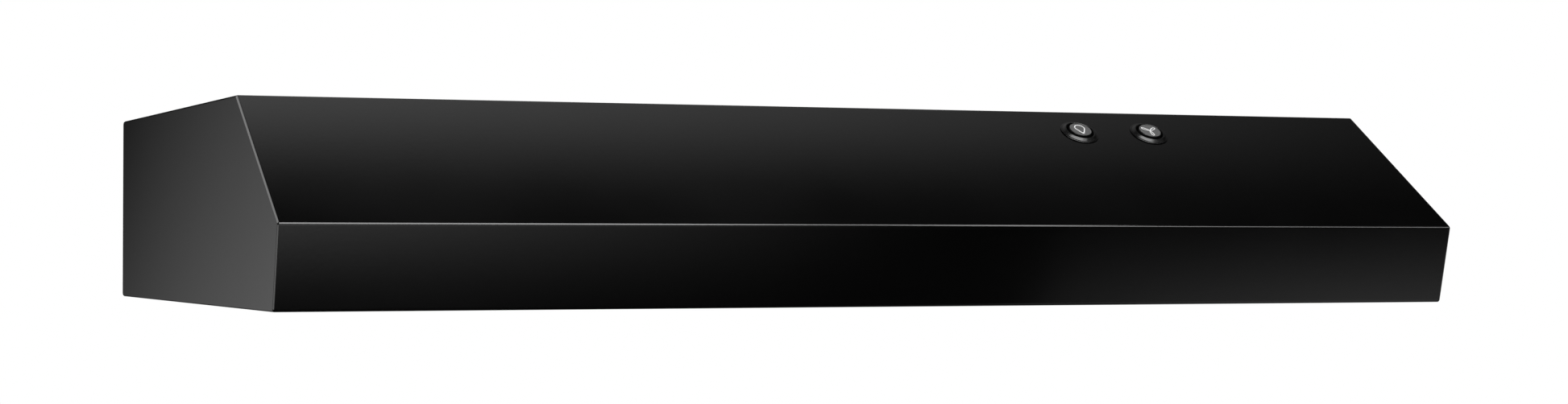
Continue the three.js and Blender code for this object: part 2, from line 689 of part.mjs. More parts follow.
// ---------------------------------------------------------------- the grease filter
const FRAME_X = FILTER_WIDTH / 2 - FILTER_PLAY;
const FRAME_Y = [FILTER_FRONT + FILTER_PLAY, FILTER_REAR - FILTER_PLAY];
const TONGUE_Z = [PANEL_TOP_Z + TONGUE_LIFT, PANEL_TOP_Z + TONGUE_LIFT + TONGUE_THICK];
const LATCH_X = 26;

// The frame is a channel: an outer wall with a lower and an upper flange, and two tongues behind.
function makeFilterFrame() {
  const outline = rectangle([-FRAME_X, FRAME_X], FRAME_Y);
  const wall = plate(outline, [PANEL_FACE_Z, FILTER_TOP_Z], [inset(outline, SHEET)]);
  const lower = plate(outline, [PANEL_FACE_Z, PANEL_FACE_Z + SHEET], [inset(outline, FILTER_FLANGE)]);
  const upper = plate(outline, [FILTER_TOP_Z - SHEET, FILTER_TOP_Z], [inset(outline, FILTER_FLANGE - 4)]);
  const tongues = [-1, 1].map((side) =>
    block([side * 110 - 12, side * 110 + 12], [FRAME_Y[1] - SHEET / 2, FILTER_REAR + TONGUE_REACH], TONGUE_Z),
  );
  const latchSlot = block(
    [-10, 10],
    [FRAME_Y[0] + 3, FRAME_Y[0] + 8 + LATCH_TRAVEL],
    [PANEL_FACE_Z - 1, PANEL_FACE_Z + SHEET + 0.5],
  );
  const latchWindow = block(
    [-LATCH_X / 2 - 1.5, LATCH_X / 2 + 1.5],
    [FRAME_Y[0] - 1, FRAME_Y[0] + SHEET + 0.5],
    [TONGUE_Z[0] - 0.4, TONGUE_Z[1] + 0.4],
  );
  return cut(join(wall, lower, upper, ...tongues), latchSlot, latchWindow);
}

// The pleated mesh inside the frame, as one folded sheet.
function makeFilterMesh() {
  const z = [PANEL_FACE_Z + SEAT + MESH_SHEET, FILTER_TOP_Z - SEAT - MESH_SHEET];
  const y = [FRAME_Y[0] + SHEET + 1, FRAME_Y[1] - SHEET - 1];
  const folds = 2 * Math.round((y[1] - y[0]) / MESH_PITCH);
  const line = Array.from({ length: folds + 1 }, (_, i) => [y[0] + ((y[1] - y[0]) * i) / folds, z[i % 2]]);
  const sheet = beam(bent(line, MESH_SHEET), [-FRAME_X + SHEET + 1, FRAME_X - SHEET - 1]);
  const latchRoom = block(
    [-LATCH_X - 3, LATCH_X + 3],
    [y[0] - 2, FRAME_Y[0] + FILTER_FLANGE - 1],
    [PANEL_FACE_Z, FILTER_TOP_Z],
  );
  return cut(sheet, latchRoom);
}

// The spring latch: a finger plate under the frame, a neck through its slot and a tongue over the panel.
function makeFilterLatch() {
  const y = FRAME_Y[0];
  const finger = block([-LATCH_X, LATCH_X], [y + 1, y + 10], [PANEL_FACE_Z - GAP - 1.5, PANEL_FACE_Z - GAP]);
  const ridge = block([-LATCH_X, LATCH_X], [y + 6, y + 8], [PANEL_FACE_Z - 5, PANEL_FACE_Z - GAP - 1]);
  const neck = block([-8, 8], [y + 4, y + 7], [PANEL_FACE_Z - 1, TONGUE_Z[1]]);
  const tongue = block([-LATCH_X / 2, LATCH_X / 2], [FILTER_FRONT + 0.5, y + 7], TONGUE_Z);
  return join(finger, ridge, neck, tongue);
}

// ---------------------------------------------------------------- the lamp
// The reflector box over the lamp opening, open below.
function makeLampHousing() {
  const x = LAMP_X + LAMP_MARGIN[0];
  const y = [LAMP_FRONT - LAMP_MARGIN[0], LAMP_REAR + LAMP_MARGIN[1]];
  const z = [PANEL_TOP_Z + GAP, LAMP_TOP_Z];
  const shell = block([-x, x], y, z);
  const inside = block([-x + SHEET, x - SHEET], [y[0] + SHEET, y[1] - SHEET], [z[0] - 1, z[1] - SHEET]);
  const leadHole = cylinder(LEAD_R + 0.8, 'x', lampLeadEntry(), x - 5, x + 5, 12);
  return cut(shell, inside, leadHole);
}

function lampLeadEntry() {
  return [LAMP_REAR - 4, LAMP_TOP_Z - 8];
}

function makeSocket() {
  const cup = cylinder(SOCKET_R, 'x', [LAMP_Y, BULB_Z], ...SOCKET_X, 24);
  const bore = cylinder(BULB_BASE_R + 0.8, 'x', [LAMP_Y, BULB_Z], SOCKET_X[0] - 1, SOCKET_X[0] + 27, 24);
  return cut(cup, bore);
}

// A profile round the bulb's own axis, which runs along -X from the socket.
function makeAlongBulb(profile, segments) {
  return turned(profile, segments).rotateY(-Math.PI / 2).translate(SOCKET_X[0], LAMP_Y, BULB_Z);
}

function makeBulbBase() {
  const profile = [
    [0, -25],
    [5, -25],
    [9, -21],
    [BULB_BASE_R, -20],
    [BULB_BASE_R, -1],
    [BULB_BASE_R - 1, 0],
    [0, 0],
  ];
  return makeAlongBulb(profile, 20);
}

// The glass is a thin shell, open at its neck.
function makeBulbGlass() {
  const line = (wall) => [
    [BULB_NECK_R - wall, GAP],
    [BULB_NECK_R - wall, 8],
    ...Array.from({ length: 7 }, (_, i) => {
      const angle = THREE.MathUtils.degToRad(-50 + (140 * i) / 6);
      const radius = BULB_R - wall;
      return [i < 6 ? radius * Math.cos(angle) : 0, BULB_MIDDLE + radius * Math.sin(angle)];
    }),
  ];
  const section = [...line(0), ...line(BULB_WALL).reverse()];
  return makeAlongBulb(section, 16);
}

// The lens: a shallow tray of clear ribbed plastic with two tongues that hook over the panel behind it.
function makeLens() {
  const x = LAMP_X - LENS_PLAY;
  const y = [LAMP_FRONT + LENS_PLAY, LAMP_REAR - LENS_PLAY];
  const z = [PANEL_FACE_Z - 2.2, PANEL_TOP_Z + 4];
  const tray = block([-x, x], y, z);
  const inside = block(
    [-x + LENS_WALL, x - LENS_WALL],
    [y[0] + LENS_WALL, y[1] - LENS_WALL],
    [z[0] + LENS_WALL, z[1] + 1],
  );
  const tongues = [-1, 1].map((side) =>
    block([side * 50 - 7, side * 50 + 7], [y[1] - LENS_WALL / 2, LAMP_REAR + TONGUE_REACH - 1], TONGUE_Z),
  );
  return join(cut(tray, inside), ...tongues);
}

// ---------------------------------------------------------------- the push buttons
// A group whose own +Z stands out of the slope and +Y runs up it, at one button.
function buttonFrame(fromEnd) {
  const frame = new THREE.Group();
  frame.position.set(...buttonPlace(fromEnd));
  frame.rotation.x = SLOPE_ANGLE;
  hood.add(frame);
  return frame;
}

const BEZEL_FOOT = -8;
const SWITCH_TOP = BEZEL_FOOT - GAP;

function makeBezel() {
  return turned(
    [
      [BEZEL_BORE_R, BEZEL_FOOT],
      [BEZEL_BORE_R + BEZEL_WALL, BEZEL_FOOT],
      [BEZEL_BORE_R + BEZEL_WALL, GAP],
      [BEZEL_R, GAP],
      [BEZEL_R, GAP + 0.3],
      [BEZEL_BORE_R + 1.4, BEZEL_RISE],
      [BEZEL_BORE_R + 0.5, BEZEL_RISE],
      [BEZEL_BORE_R, BEZEL_RISE - 0.5],
    ],
    24,
  );
}

function makeCap() {
  return turned(
    [
      [0, -16],
      [2.4, -16],
      [2.4, -4],
      [CAP_R, -4],
      [CAP_R, CAP_RISE - 0.7],
      [CAP_R - 0.7, CAP_RISE - 0.15],
      [0, CAP_RISE],
    ],
    20,
  );
}

function makeSwitch() {
  const half = SWITCH_SIZE / 2;
  const body = block([-half, half], [-half, half], [SWITCH_TOP - SWITCH_DEPTH, SWITCH_TOP]);
  return cut(body, cylinder(3.2, 'z', [0, 0], SWITCH_TOP - 12, SWITCH_TOP + 1, 16));
}

// One strap behind both switches, with feet on the slope's inner face.
function makeSwitchBracket() {
  const spread = (BUTTONS_FROM_END[0] - BUTTONS_FROM_END[1]) / 2;
  const x = spread + SWITCH_SIZE / 2 + 6;
  const foot = -SHEET - GAP;
  const deep = SWITCH_TOP - SWITCH_DEPTH - GAP;
  const line = [[-x - 9, foot], [-x, foot], [-x, deep], [x, deep], [x, foot], [x + 9, foot]];
  const strip = new THREE.Shape(bent(line, -1).map(([a, b]) => new THREE.Vector2(a, b)));
  const made = new THREE.ExtrudeGeometry(strip, { depth: 18, bevelEnabled: false });
  made.translate(0, 0, -9).rotateX(Math.PI / 2);
  const holes = [-spread, spread].map((at) => cylinder(LEAD_R + 1.5, 'z', [at, 0], deep - 4, deep + 4, 12));
  return cut(solid(made), ...holes);
}

function makeButtons() {
  const [lightFrame, fanFrame] = BUTTONS_FROM_END.map(buttonFrame);
  const sets = [['light', lightFrame], ['fan', fanFrame]];
  for (const [name, frame] of sets) {
    place(`${name}_bezel`, makeBezel(), blackPlastic, frame);
    place(`${name}_button`, makeCap(), greyPlastic, frame);
    place(`${name}_switch`, makeSwitch(), blackPlastic, frame);
  }
  const between = buttonFrame((BUTTONS_FROM_END[0] + BUTTONS_FROM_END[1]) / 2);
  place('switch_bracket', makeSwitchBracket(), galvanised, between);
}

// ---------------------------------------------------------------- the electrical parts
// The junction box against the rear panel, open below until its cover is on.
function makeWiringBox() {
  const shell = block(BOX_X, BOX_Y, BOX_Z);
  const inside = block(
    [BOX_X[0] + SHEET, BOX_X[1] - SHEET],
    [BOX_Y[0] + SHEET, BOX_Y[1] - SHEET],
    [BOX_Z[0] - 1, BOX_Z[1] - SHEET],
  );
  const entry = cylinder(ENTRY_R, 'y', [ENTRY[0], ENTRY[2]], BOX_Y[1] - 5, BOX_Y[1] + 5);
  const leadHole = cylinder(LEAD_R + 1, 'y', [SUPPLY_HOLE_X, ENTRY[2]], BOX_Y[0] - 5, BOX_Y[0] + 5, 12);
  const screwTab = block(
    [ENTRY[0] - 8, ENTRY[0] + 8],
    [BOX_Y[0] + SHEET / 2, BOX_Y[0] + 14],
    [BOX_Z[0], BOX_Z[0] + SHEET],
  );
  const screwHole = cylinder(SCREW_SHANK_R + GAP, 'z', coverScrewPlace(), BOX_Z[0] - 2, BOX_Z[0] + 3, 12);
  return cut(join(cut(shell, inside, entry, leadHole), screwTab), screwHole);
}

function coverScrewPlace() {
  return [ENTRY[0], BOX_Y[0] + 8];
}

function makeWiringBoxCover() {
  const z = [BOX_Z[0] - SEAT, BOX_Z[0] - GAP];
  const floor = block(BOX_X, BOX_Y, z);
  const lip = block(BOX_X, [BOX_Y[0] - SEAT, BOX_Y[0] - GAP], [z[0], z[0] + 10]);
  const bridge = block(BOX_X, [BOX_Y[0] - SEAT, BOX_Y[0] + 1], z);
  const screwHole = cylinder(SCREW_SHANK_R + GAP, 'z', coverScrewPlace(), z[0] - 2, z[1] + 2, 12);
  return cut(join(floor, lip, bridge), screwHole);
}

// The bushing in the cable entry, with a flange outside and a nut inside.
function makeCableBushing() {
  const outside = REAR_PANEL_Y + GAP;
  const inside = BOX_Y[1] - SHEET - GAP;
  const profile = [
    [BUSHING_BORE_R, inside - 3],
    [ENTRY_R + 4, inside - 3],
    [ENTRY_R + 4, inside],
    [ENTRY_R - 0.4, inside],
    [ENTRY_R - 0.4, outside],
    [ENTRY_R + 3, outside],
    [ENTRY_R + 3, WALL - GAP],
    [BUSHING_BORE_R, WALL - GAP],
  ];
  return turned(profile, 24).rotateX(-Math.PI / 2).translate(ENTRY[0], 0, ENTRY[2]);
}

// A thin-walled plastic box, open only where its leads go in.
function makeControlModule() {
  const wall = MODULE_WALL;
  const body = block(MODULE_X, MODULE_Y, MODULE_Z);
  const inside = block(
    [MODULE_X[0] + wall, MODULE_X[1] - wall],
    [MODULE_Y[0] + wall, MODULE_Y[1] - wall],
    [MODULE_Z[0] + wall, MODULE_Z[1] - wall],
  );
  const rim = block(
    [MODULE_X[0] - 1.5, MODULE_X[1] + 1.5],
    [MODULE_Y[0] - 1.5, MODULE_Y[1] + 1.5],
    [MODULE_Z[1] - 4, MODULE_Z[1]],
  );
  const { leftEntries, frontEntries, rearEntries } = moduleEntries();
  const holes = [
    ...leftEntries.map(([y, z]) => cylinder(LEAD_R + 1, 'x', [y, z], MODULE_X[0] - 3, MODULE_X[0] + 5, 12)),
    ...frontEntries.map(([x, z]) => cylinder(LEAD_R + 1, 'y', [x, z], MODULE_Y[0] - 3, MODULE_Y[0] + 5, 12)),
    ...rearEntries.map(([x, z]) => cylinder(LEAD_R + 1, 'y', [x, z], MODULE_Y[1] - 5, MODULE_Y[1] + 3, 12)),
  ];
  return cut(body.add(rim), inside, ...holes);
}

function moduleEntries() {
  const z = (MODULE_Z[0] + MODULE_Z[1]) / 2;
  return {
    leftEntries: [[MODULE_Y[1] - 24, z], [MODULE_Y[0] + 20, z]],
    frontEntries: [[MODULE_X[0] + 34, z - 5], [MODULE_X[0] + 12, z + 3]],
    rearEntries: [[SUPPLY_HOLE_X - 10, z]],
  };
}

// A round lead along a smooth route of [x, y, z] points.
function makeLead(points, steps = 26) {
  const route = new THREE.CatmullRomCurve3(points.map((p) => new THREE.Vector3(...p)));
  const section = new THREE.Shape(circle(LEAD_R, [0, 0], 7).map(([a, b]) => new THREE.Vector2(a, b)));
  return new THREE.ExtrudeGeometry(section, { steps, extrudePath: route, bevelEnabled: false });
}

// A point behind a switch, a distance back from the slope's outer face.
function behindSwitch(fromEnd, back) {
  const [x, y, z] = buttonPlace(fromEnd);
  return [x, y + back * Math.sin(SLOPE_ANGLE), z - back * Math.cos(SLOPE_ANGLE)];
}

// Three points in a line along one axis, from one value to another, so that a lead runs straight there.
function straight(at, axis, from, to) {
  return [from, (from + to) / 2, to].map((value) => at.map((v, i) => (i === axis ? value : v)));
}

function makeLeads() {
  const back = SWITCH_DEPTH - SWITCH_TOP + LEAD_END_GAP;
  const { leftEntries, frontEntries, rearEntries } = moduleEntries();
  const [[motorY, motorInZ], [lightY, lightZ]] = leftEntries;
  const [[lampX, lampZ], [fanX, fanZ]] = frontEntries;
  const [[supplyX, supplyZ]] = rearEntries;
  const [lightEnd, fanEnd] = BUTTONS_FROM_END;
  const inLeft = MODULE_X[0] + MODULE_WALL + 3;
  const inFront = MODULE_Y[0] + MODULE_WALL + 3;
  const inRear = MODULE_Y[1] - MODULE_WALL - 3;
  const housingX = scrollRadius(0);
  const [lampY, lampInZ] = lampLeadEntry();
  const motorZ = motorLeadZ();
  place('supply_lead', makeLead([
    ...straight([SUPPLY_HOLE_X, 0, ENTRY[2]], 1, BOX_Y[0] + 12, BOX_Y[0] - 12),
    [SUPPLY_HOLE_X - 12, (BOX_Y[0] + MODULE_Y[1]) / 2, ENTRY[2] - 4],
    ...straight([supplyX, 0, supplyZ], 1, MODULE_Y[1] + 14, inRear),
  ]), rubber);
  place('motor_lead', makeLead([
    ...straight([0, motorY, motorInZ], 0, inLeft, MODULE_X[0] - 14),
    [(MODULE_X[0] + housingX) / 2, (motorY + BLOWER_Y) / 2, motorZ - 2],
    ...straight([0, BLOWER_Y, motorZ], 0, housingX + 12, MOTOR_R + LEAD_END_GAP),
  ]), rubber);
  place('lamp_lead', makeLead([
    ...straight([lampX, 0, lampZ], 1, inFront, MODULE_Y[0] - 12),
    [(lampX + LAMP_X) / 2 + 40, MODULE_Y[0] - 26, LAMP_TOP_Z - 12],
    [(lampX + LAMP_X) / 2 - 40, LAMP_REAR + 20, LAMP_TOP_Z - 14],
    ...straight([0, lampY, lampInZ], 0, LAMP_X + 20, LAMP_X - 6),
  ]), rubber);
  place('light_switch_lead', makeLead([
    behindSwitch(lightEnd, back),
    behindSwitch(lightEnd, back + 9),
    [END - lightEnd + 20, MODULE_Y[0] - 30, lightZ - 20],
    [MODULE_X[0] - 24, lightY - 4, lightZ - 4],
    ...straight([0, lightY, lightZ], 0, MODULE_X[0] - 12, inLeft),
  ]), rubber);
  place('fan_switch_lead', makeLead([
    behindSwitch(fanEnd, back),
    behindSwitch(fanEnd, back + 9),
    [(END - fanEnd + fanX) / 2, MODULE_Y[0] - 26, fanZ - 10],
    ...straight([fanX, 0, fanZ], 1, MODULE_Y[0] - 12, inFront),
  ]), rubber);
}

// ---------------------------------------------------------------- assembly
function makeShell() {
  place('canopy', makeCanopy(), blackPaint);
  place('left_end_panel', makeEndPanel(-1), blackPaint);
  place('right_end_panel', makeEndPanel(1), blackPaint);
  place('rear_panel', makeRearPanel(), blackPaint);
  place('underside_panel', makeUndersidePanel(), blackPaint);
  place('left_support_rail', makeRail(-1), galvanised);
  place('right_support_rail', makeRail(1), galvanised);
  panelScrewPlaces().forEach(([x, y], i) => {
    place(`panel_screw_${i + 1}`, makeScrew(x, y, PANEL_FACE_Z), steel);
  });
}

function makeBlower() {
  place('blower_housing', makeHousing(), galvanised);
  place('blower_inlet_plate', makeInletPlate(), galvanised);
  place('blower_wheel', makeWheel(), galvanised);
  place('motor_body', makeMotor(), steel);
  place('motor_bracket', makeMotorBracket(), galvanised);
  place('motor_shaft', makeShaft(), steel);
  place('wheel_nut', makeWheelNut(), steel);
  place('run_capacitor', makeCapacitor(), greyPlastic);
  inletScrewPlaces().forEach(([x, y], i) => {
    place(`inlet_screw_${i + 1}`, makeScrew(x, y, HOUSING_FOOT_Z - SEAT), steel);
  });
}

function makeDuct() {
  place('duct_collar', makeCollar(), galvanised);
  place('damper_rod', makeFlapRod(), steel);
  place('damper_flap', makeFlap(), aluminium);
}

function makeFilter() {
  place('filter_frame', makeFilterFrame(), aluminium);
  place('filter_mesh', makeFilterMesh(), aluminium);
  place('filter_latch', makeFilterLatch(), blackPlastic);
}

function makeLamp() {
  place('lamp_housing', makeLampHousing(), galvanised);
  place('lamp_socket', makeSocket(), porcelain);
  place('bulb_base', makeBulbBase(), aluminium);
  place('bulb_glass', makeBulbGlass(), glass);
  place('light_lens', makeLens(), lensPlastic);
}

function makeElectrics() {
  place('wiring_box', makeWiringBox(), galvanised);
  place('wiring_box_cover', makeWiringBoxCover(), galvanised);
  place('wiring_cover_screw', makeScrew(...coverScrewPlace(), BOX_Z[0] - SEAT), steel);
  place('cable_bushing', makeCableBushing(), blackPlastic);
  place('control_module', makeControlModule(), blackPlastic);
  makeLeads();
}

makeShell();
makeBlower();
makeDuct();
makeFilter();
makeLamp();
makeButtons();
makeElectrics();

export default hood;
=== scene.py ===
"""The looks of an under-cabinet range hood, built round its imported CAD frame. Sizes are in metres.

+X runs along the hood, +Y towards the wall and +Z up; the origin is the middle of the top face.
"""
import math

import bmesh
import bpy
from mathutils import Matrix, Vector

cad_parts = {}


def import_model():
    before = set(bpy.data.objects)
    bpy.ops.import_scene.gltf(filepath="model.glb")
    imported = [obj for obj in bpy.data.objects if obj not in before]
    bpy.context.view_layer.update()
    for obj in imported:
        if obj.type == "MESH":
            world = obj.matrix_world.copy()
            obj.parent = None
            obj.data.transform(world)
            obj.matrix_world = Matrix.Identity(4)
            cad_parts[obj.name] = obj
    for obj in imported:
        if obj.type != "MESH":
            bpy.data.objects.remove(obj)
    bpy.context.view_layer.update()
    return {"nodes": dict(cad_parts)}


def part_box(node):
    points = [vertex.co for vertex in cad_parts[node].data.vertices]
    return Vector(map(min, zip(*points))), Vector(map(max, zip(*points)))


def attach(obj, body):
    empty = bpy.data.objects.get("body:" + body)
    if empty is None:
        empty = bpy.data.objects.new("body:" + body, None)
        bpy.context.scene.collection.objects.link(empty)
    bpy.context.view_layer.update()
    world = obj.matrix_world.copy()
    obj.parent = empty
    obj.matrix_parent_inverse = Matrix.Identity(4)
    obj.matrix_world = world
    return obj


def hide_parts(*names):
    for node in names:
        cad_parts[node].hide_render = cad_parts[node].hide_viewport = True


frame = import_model()
MM = 0.001

# ------------------------------------------------------------------ sizes that the frame was made with
END = 380.0
WALL = 250.0
FRONT = -250.0
TOP_EDGE = -138.0
CREASE_Z = -74.5
BAND_FOOT = -238.0
RIM_Z = -123.0
SHEET = 0.6
BEND_R = 2.0
CANOPY_END = 378.55
SLOPE_ANGLE = math.atan2(-CREASE_Z, TOP_EDGE - FRONT)
PANEL_FACE = -108.8
PANEL_TOP = -108.2
REAR_FACE = 248.2
PROFILE = [(WALL, 0.0), (TOP_EDGE, 0.0), (FRONT, CREASE_Z), (BAND_FOOT, RIM_Z), (WALL, RIM_Z)]
BUTTON_X = {"light": 159.0, "fan": 210.0}
BUTTON_DOWN = 25.4
CAP_TOP = 2.7
CAP_R = 7.5
KEYHOLES = [(x, y) for x in (-295.0, 295.0) for y in (-93.0, 175.0)]
CABLE_HOLE = (307.0, -30.0)
PANEL_SCREWS = [(x, y) for x in (-372.1, 372.1) for y in (-180.0, 180.0)]
FILTER_X, FILTER_Y = (-182.5, 182.5), (-106.5, 186.5)
LENS_X, LENS_Y = (-79.0, 79.0), (-207.0, -133.0)
COLLAR_X, COLLAR_Y = (-126.0, 126.0), (155.0, 236.0)


# ------------------------------------------------------------------ materials
class Nodes:
    """A material's node tree, with a Principled shader already wired to its output."""

    def __init__(self, name, **shader):
        self.material = bpy.data.materials.new(name)
        self.material.use_nodes = True
        self.tree = self.material.node_tree
        self.shader = next(n for n in self.tree.nodes if n.type == "BSDF_PRINCIPLED")
        for socket, value in shader.items():
            self.shader.inputs[socket.replace("_", " ")].default_value = value
        self.coords = self.add("ShaderNodeTexCoord").outputs["Object"]

    def add(self, kind, inputs=None, **settings):
        node = self.tree.nodes.new(kind)
        for key, value in settings.items():
            setattr(node, key, value)
        for key, value in (inputs or {}).items():
            self.put(node.inputs[key], value)
        return node

    def put(self, socket, value):
        if isinstance(value, bpy.types.NodeSocket):
            self.tree.links.new(value, socket)
        else:
            socket.default_value = value

    def stretched(self, scale):
        return self.add("ShaderNodeMapping", {"Vector": self.coords, "Scale": scale}).outputs["Vector"]

    def noise(self, scale, detail=2.0, vector=None, rough=0.5):
        inputs = {"Vector": vector or self.coords, "Scale": scale, "Detail": detail, "Roughness": rough}
        return self.add("ShaderNodeTexNoise", inputs).outputs["Fac"]

    def spread(self, value, low, high, start=0.3, end=0.7):
        inputs = {"Value": value, "From Min": start, "From Max": end, "To Min": low, "To Max": high}
        return self.add("ShaderNodeMapRange", inputs).outputs["Result"]

    def ramp(self, value, stops):
        node = self.add("ShaderNodeValToRGB", {"Fac": value})
        while len(node.color_ramp.elements) < len(stops):
            node.color_ramp.elements.new(0.5)
        for element, (place, colour) in zip(node.color_ramp.elements, stops):
            element.position = place
            element.color = (*colour, 1.0)
        return node.outputs["Color"]

    def bump(self, height, strength, distance, normal=None):
        inputs = {"Height": height, "Strength": strength, "Distance": distance}
        if normal:
            inputs["Normal"] = normal
        return self.add("ShaderNodeBump", inputs).outputs["Normal"]

    def colour(self, value):
        self.put(self.shader.inputs["Base Color"], value)

    def rough(self, value):
        self.put(self.shader.inputs["Roughness"], value)

    def normal(self, value):
        self.put(self.shader.inputs["Normal"], value)


def grey(level, tint=(1.0, 1.0, 1.0)):
    return tuple(level * t for t in tint)


def enamel(name, level=0.0012):
    """Black semi-gloss enamel: orange peel, a faint cloud in the gloss and a few specks of dust."""
    m = Nodes(name, IOR=1.5, Coat_Weight=0.12, Coat_Roughness=0.12)
    cloud = m.noise(9.0, 3.0)
    speck = m.noise(2600.0, 0.0)
    m.colour(m.ramp(m.spread(speck, 0.0, 1.0, 0.74, 0.82), [(0.0, grey(level)), (1.0, grey(level * 5))]))
    m.rough(m.spread(cloud, 0.16, 0.20))
    peel = m.bump(m.noise(420.0, 2.0), 0.05, 0.0004)
    m.normal(m.bump(m.noise(1500.0, 1.0), 0.05, 0.0001, peel))
    return m.material


def galvanised(name):
    """Zinc-coated sheet with spangles, each its own grey and its own grain direction."""
    m = Nodes(name, Metallic=0.6)
    cells = m.add("ShaderNodeTexVoronoi", {"Vector": m.coords, "Scale": 130.0, "Randomness": 1.0})
    split = m.add("ShaderNodeSeparateColor", {"Color": cells.outputs["Color"]})
    fine = m.noise(900.0, 3.0)
    tint = (0.97, 1.0, 1.02)
    m.colour(m.ramp(split.outputs["Red"], [(0.0, grey(0.40, tint)), (1.0, grey(0.58, tint))]))
    m.rough(m.spread(split.outputs["Green"], 0.32, 0.52, 0.0, 1.0))
    m.normal(m.bump(fine, 0.12, 0.0002))
    return m.material


def rolled_metal(name, low, high, tint, rough, along=(1.0, 30.0, 30.0)):
    """Mill or brushed metal with fine lines along one direction."""
    m = Nodes(name, Metallic=0.7)
    lines = m.noise(120.0, 4.0, m.stretched(along), 0.65)
    smudge = m.noise(25.0, 2.0)
    m.colour(m.ramp(lines, [(0.3, grey(low, tint)), (0.7, grey(high, tint))]))
    m.rough(m.spread(smudge, rough - 0.07, rough + 0.07))
    m.normal(m.bump(lines, 0.08, 0.0002))
    return m.material


def moulded(name, level, rough, grain=1800.0, depth=0.10, tint=(1.0, 1.0, 1.0), **shader):
    """Moulded plastic: spark-eroded grain and slightly uneven gloss."""
    m = Nodes(name, **shader)
    tone = m.noise(60.0, 2.0)
    m.colour(m.ramp(tone, [(0.3, grey(level * 0.88, tint)), (0.7, grey(level * 1.12, tint))]))
    m.rough(m.spread(m.noise(140.0, 2.0), rough - 0.04, rough + 0.04))
    m.normal(m.bump(m.noise(grain, 2.0), depth, 0.0001))
    return m.material


def frosted(name, tint, rough, transmission):
    """Frosted glass or lens plastic."""
    m = Nodes(name, IOR=1.49, Transmission_Weight=transmission)
    m.colour(m.ramp(m.noise(40.0, 2.0), [(0.3, grey(0.86, tint)), (0.7, grey(0.93, tint))]))
    m.rough(m.spread(m.noise(300.0, 2.0), rough - 0.05, rough + 0.05))
    m.normal(m.bump(m.noise(900.0, 1.0), 0.03, 0.0001))
    return m.material


def glazed(name):
    m = Nodes(name, Coat_Weight=0.5, Coat_Roughness=0.08)
    m.colour(m.ramp(m.noise(90.0, 4.0), [(0.35, (0.62, 0.59, 0.52)), (0.65, (0.70, 0.67, 0.60))]))
    m.rough(m.spread(m.noise(60.0, 2.0), 0.22, 0.34))
    m.normal(m.bump(m.noise(250.0, 3.0), 0.10, 0.0003))
    return m.material


def backdrop(name, level):
    """Matt paint that is clear from behind, so the underside can be seen from under the floor."""
    m = Nodes(name, Specular_IOR_Level=0.1)
    m.colour(m.ramp(m.noise(2.0, 3.0), [(0.3, grey(level * 0.99)), (0.7, grey(level))]))
    m.rough(m.spread(m.noise(8.0, 2.0), 0.85, 0.95))
    below = m.add("ShaderNodeNewGeometry").outputs["Backfacing"]
    clear = m.add("ShaderNodeBsdfTransparent").outputs["BSDF"]
    mix = m.add("ShaderNodeMixShader", {0: below, 1: m.shader.outputs["BSDF"], 2: clear})
    output = next(n for n in m.tree.nodes if n.type == "OUTPUT_MATERIAL")
    m.put(output.inputs["Surface"], mix.outputs["Shader"])
    return m.material


PAINT = enamel("black_enamel")
PAINT_INSIDE = enamel("black_enamel_inside", 0.003)
ZINC = galvanised("galvanised_sheet")
ALUMINIUM = rolled_metal("mill_aluminium", 0.52, 0.70, (0.99, 1.0, 1.02), 0.36)
STEEL = rolled_metal("plated_steel", 0.42, 0.60, (1.0, 0.99, 0.97), 0.30)
BLACK_PLASTIC = moulded("bezel_plastic", 0.003, 0.24, depth=0.04, Specular_IOR_Level=0.5)
# the cap's side: a near-black copy of the grey cap plastic, painted shade for the gap round the cap
CAP_SIDE_PAINTED_SHADE = moulded("cap_side_painted_shade", 0.004, 0.35, depth=0.06, Specular_IOR_Level=0.3)
BODY_PLASTIC = moulded("housing_plastic", 0.02, 0.45, depth=0.2)
CAP_PLASTIC = moulded("cap_plastic", 0.075, 0.42, depth=0.12)
ICON_PAINT = moulded("icon_print", 0.72, 0.5, depth=0.05)
LENS_PLASTIC = frosted("lens_plastic", (1.0, 1.0, 0.97), 0.35, 0.55)
BULB_GLASS = frosted("bulb_glass", (1.0, 0.995, 0.97), 0.35, 0.8)
PORCELAIN = glazed("lamp_porcelain")
SHEATH = moulded("lead_sheath", 0.02, 0.5, grain=900.0, depth=0.25)


# ------------------------------------------------------------------ mesh helpers
def shade(obj, angle=35.0, weighted=True):
    """Smooth faces, edges sharper than the angle kept hard, and flats left flat by weighted normals."""
    mesh = obj.data
    mesh.polygons.foreach_set("use_smooth", [True] * len(mesh.polygons))
    mesh.set_sharp_from_angle(angle=math.radians(angle))
    if weighted:
        modifier = obj.modifiers.new("flats", "WEIGHTED_NORMAL")
        modifier.keep_sharp = True
        modifier.weight = 80


def add_object(name, bm, material, body=None, replaces=None, angle=35.0, weighted=True):
    """Turns a bmesh into an object. With a body it becomes a piece of the hood that rides on that body."""
    mesh = bpy.data.meshes.new(name)
    bm.normal_update()
    bm.to_mesh(mesh)
    bm.free()
    obj = bpy.data.objects.new(name, mesh)
    bpy.context.scene.collection.objects.link(obj)
    mesh.materials.clear()
    mesh.materials.append(material)
    if angle is not None:
        shade(obj, angle, weighted)
    if body:
        if replaces:
            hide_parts(replaces)
        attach(obj, body)
    return obj


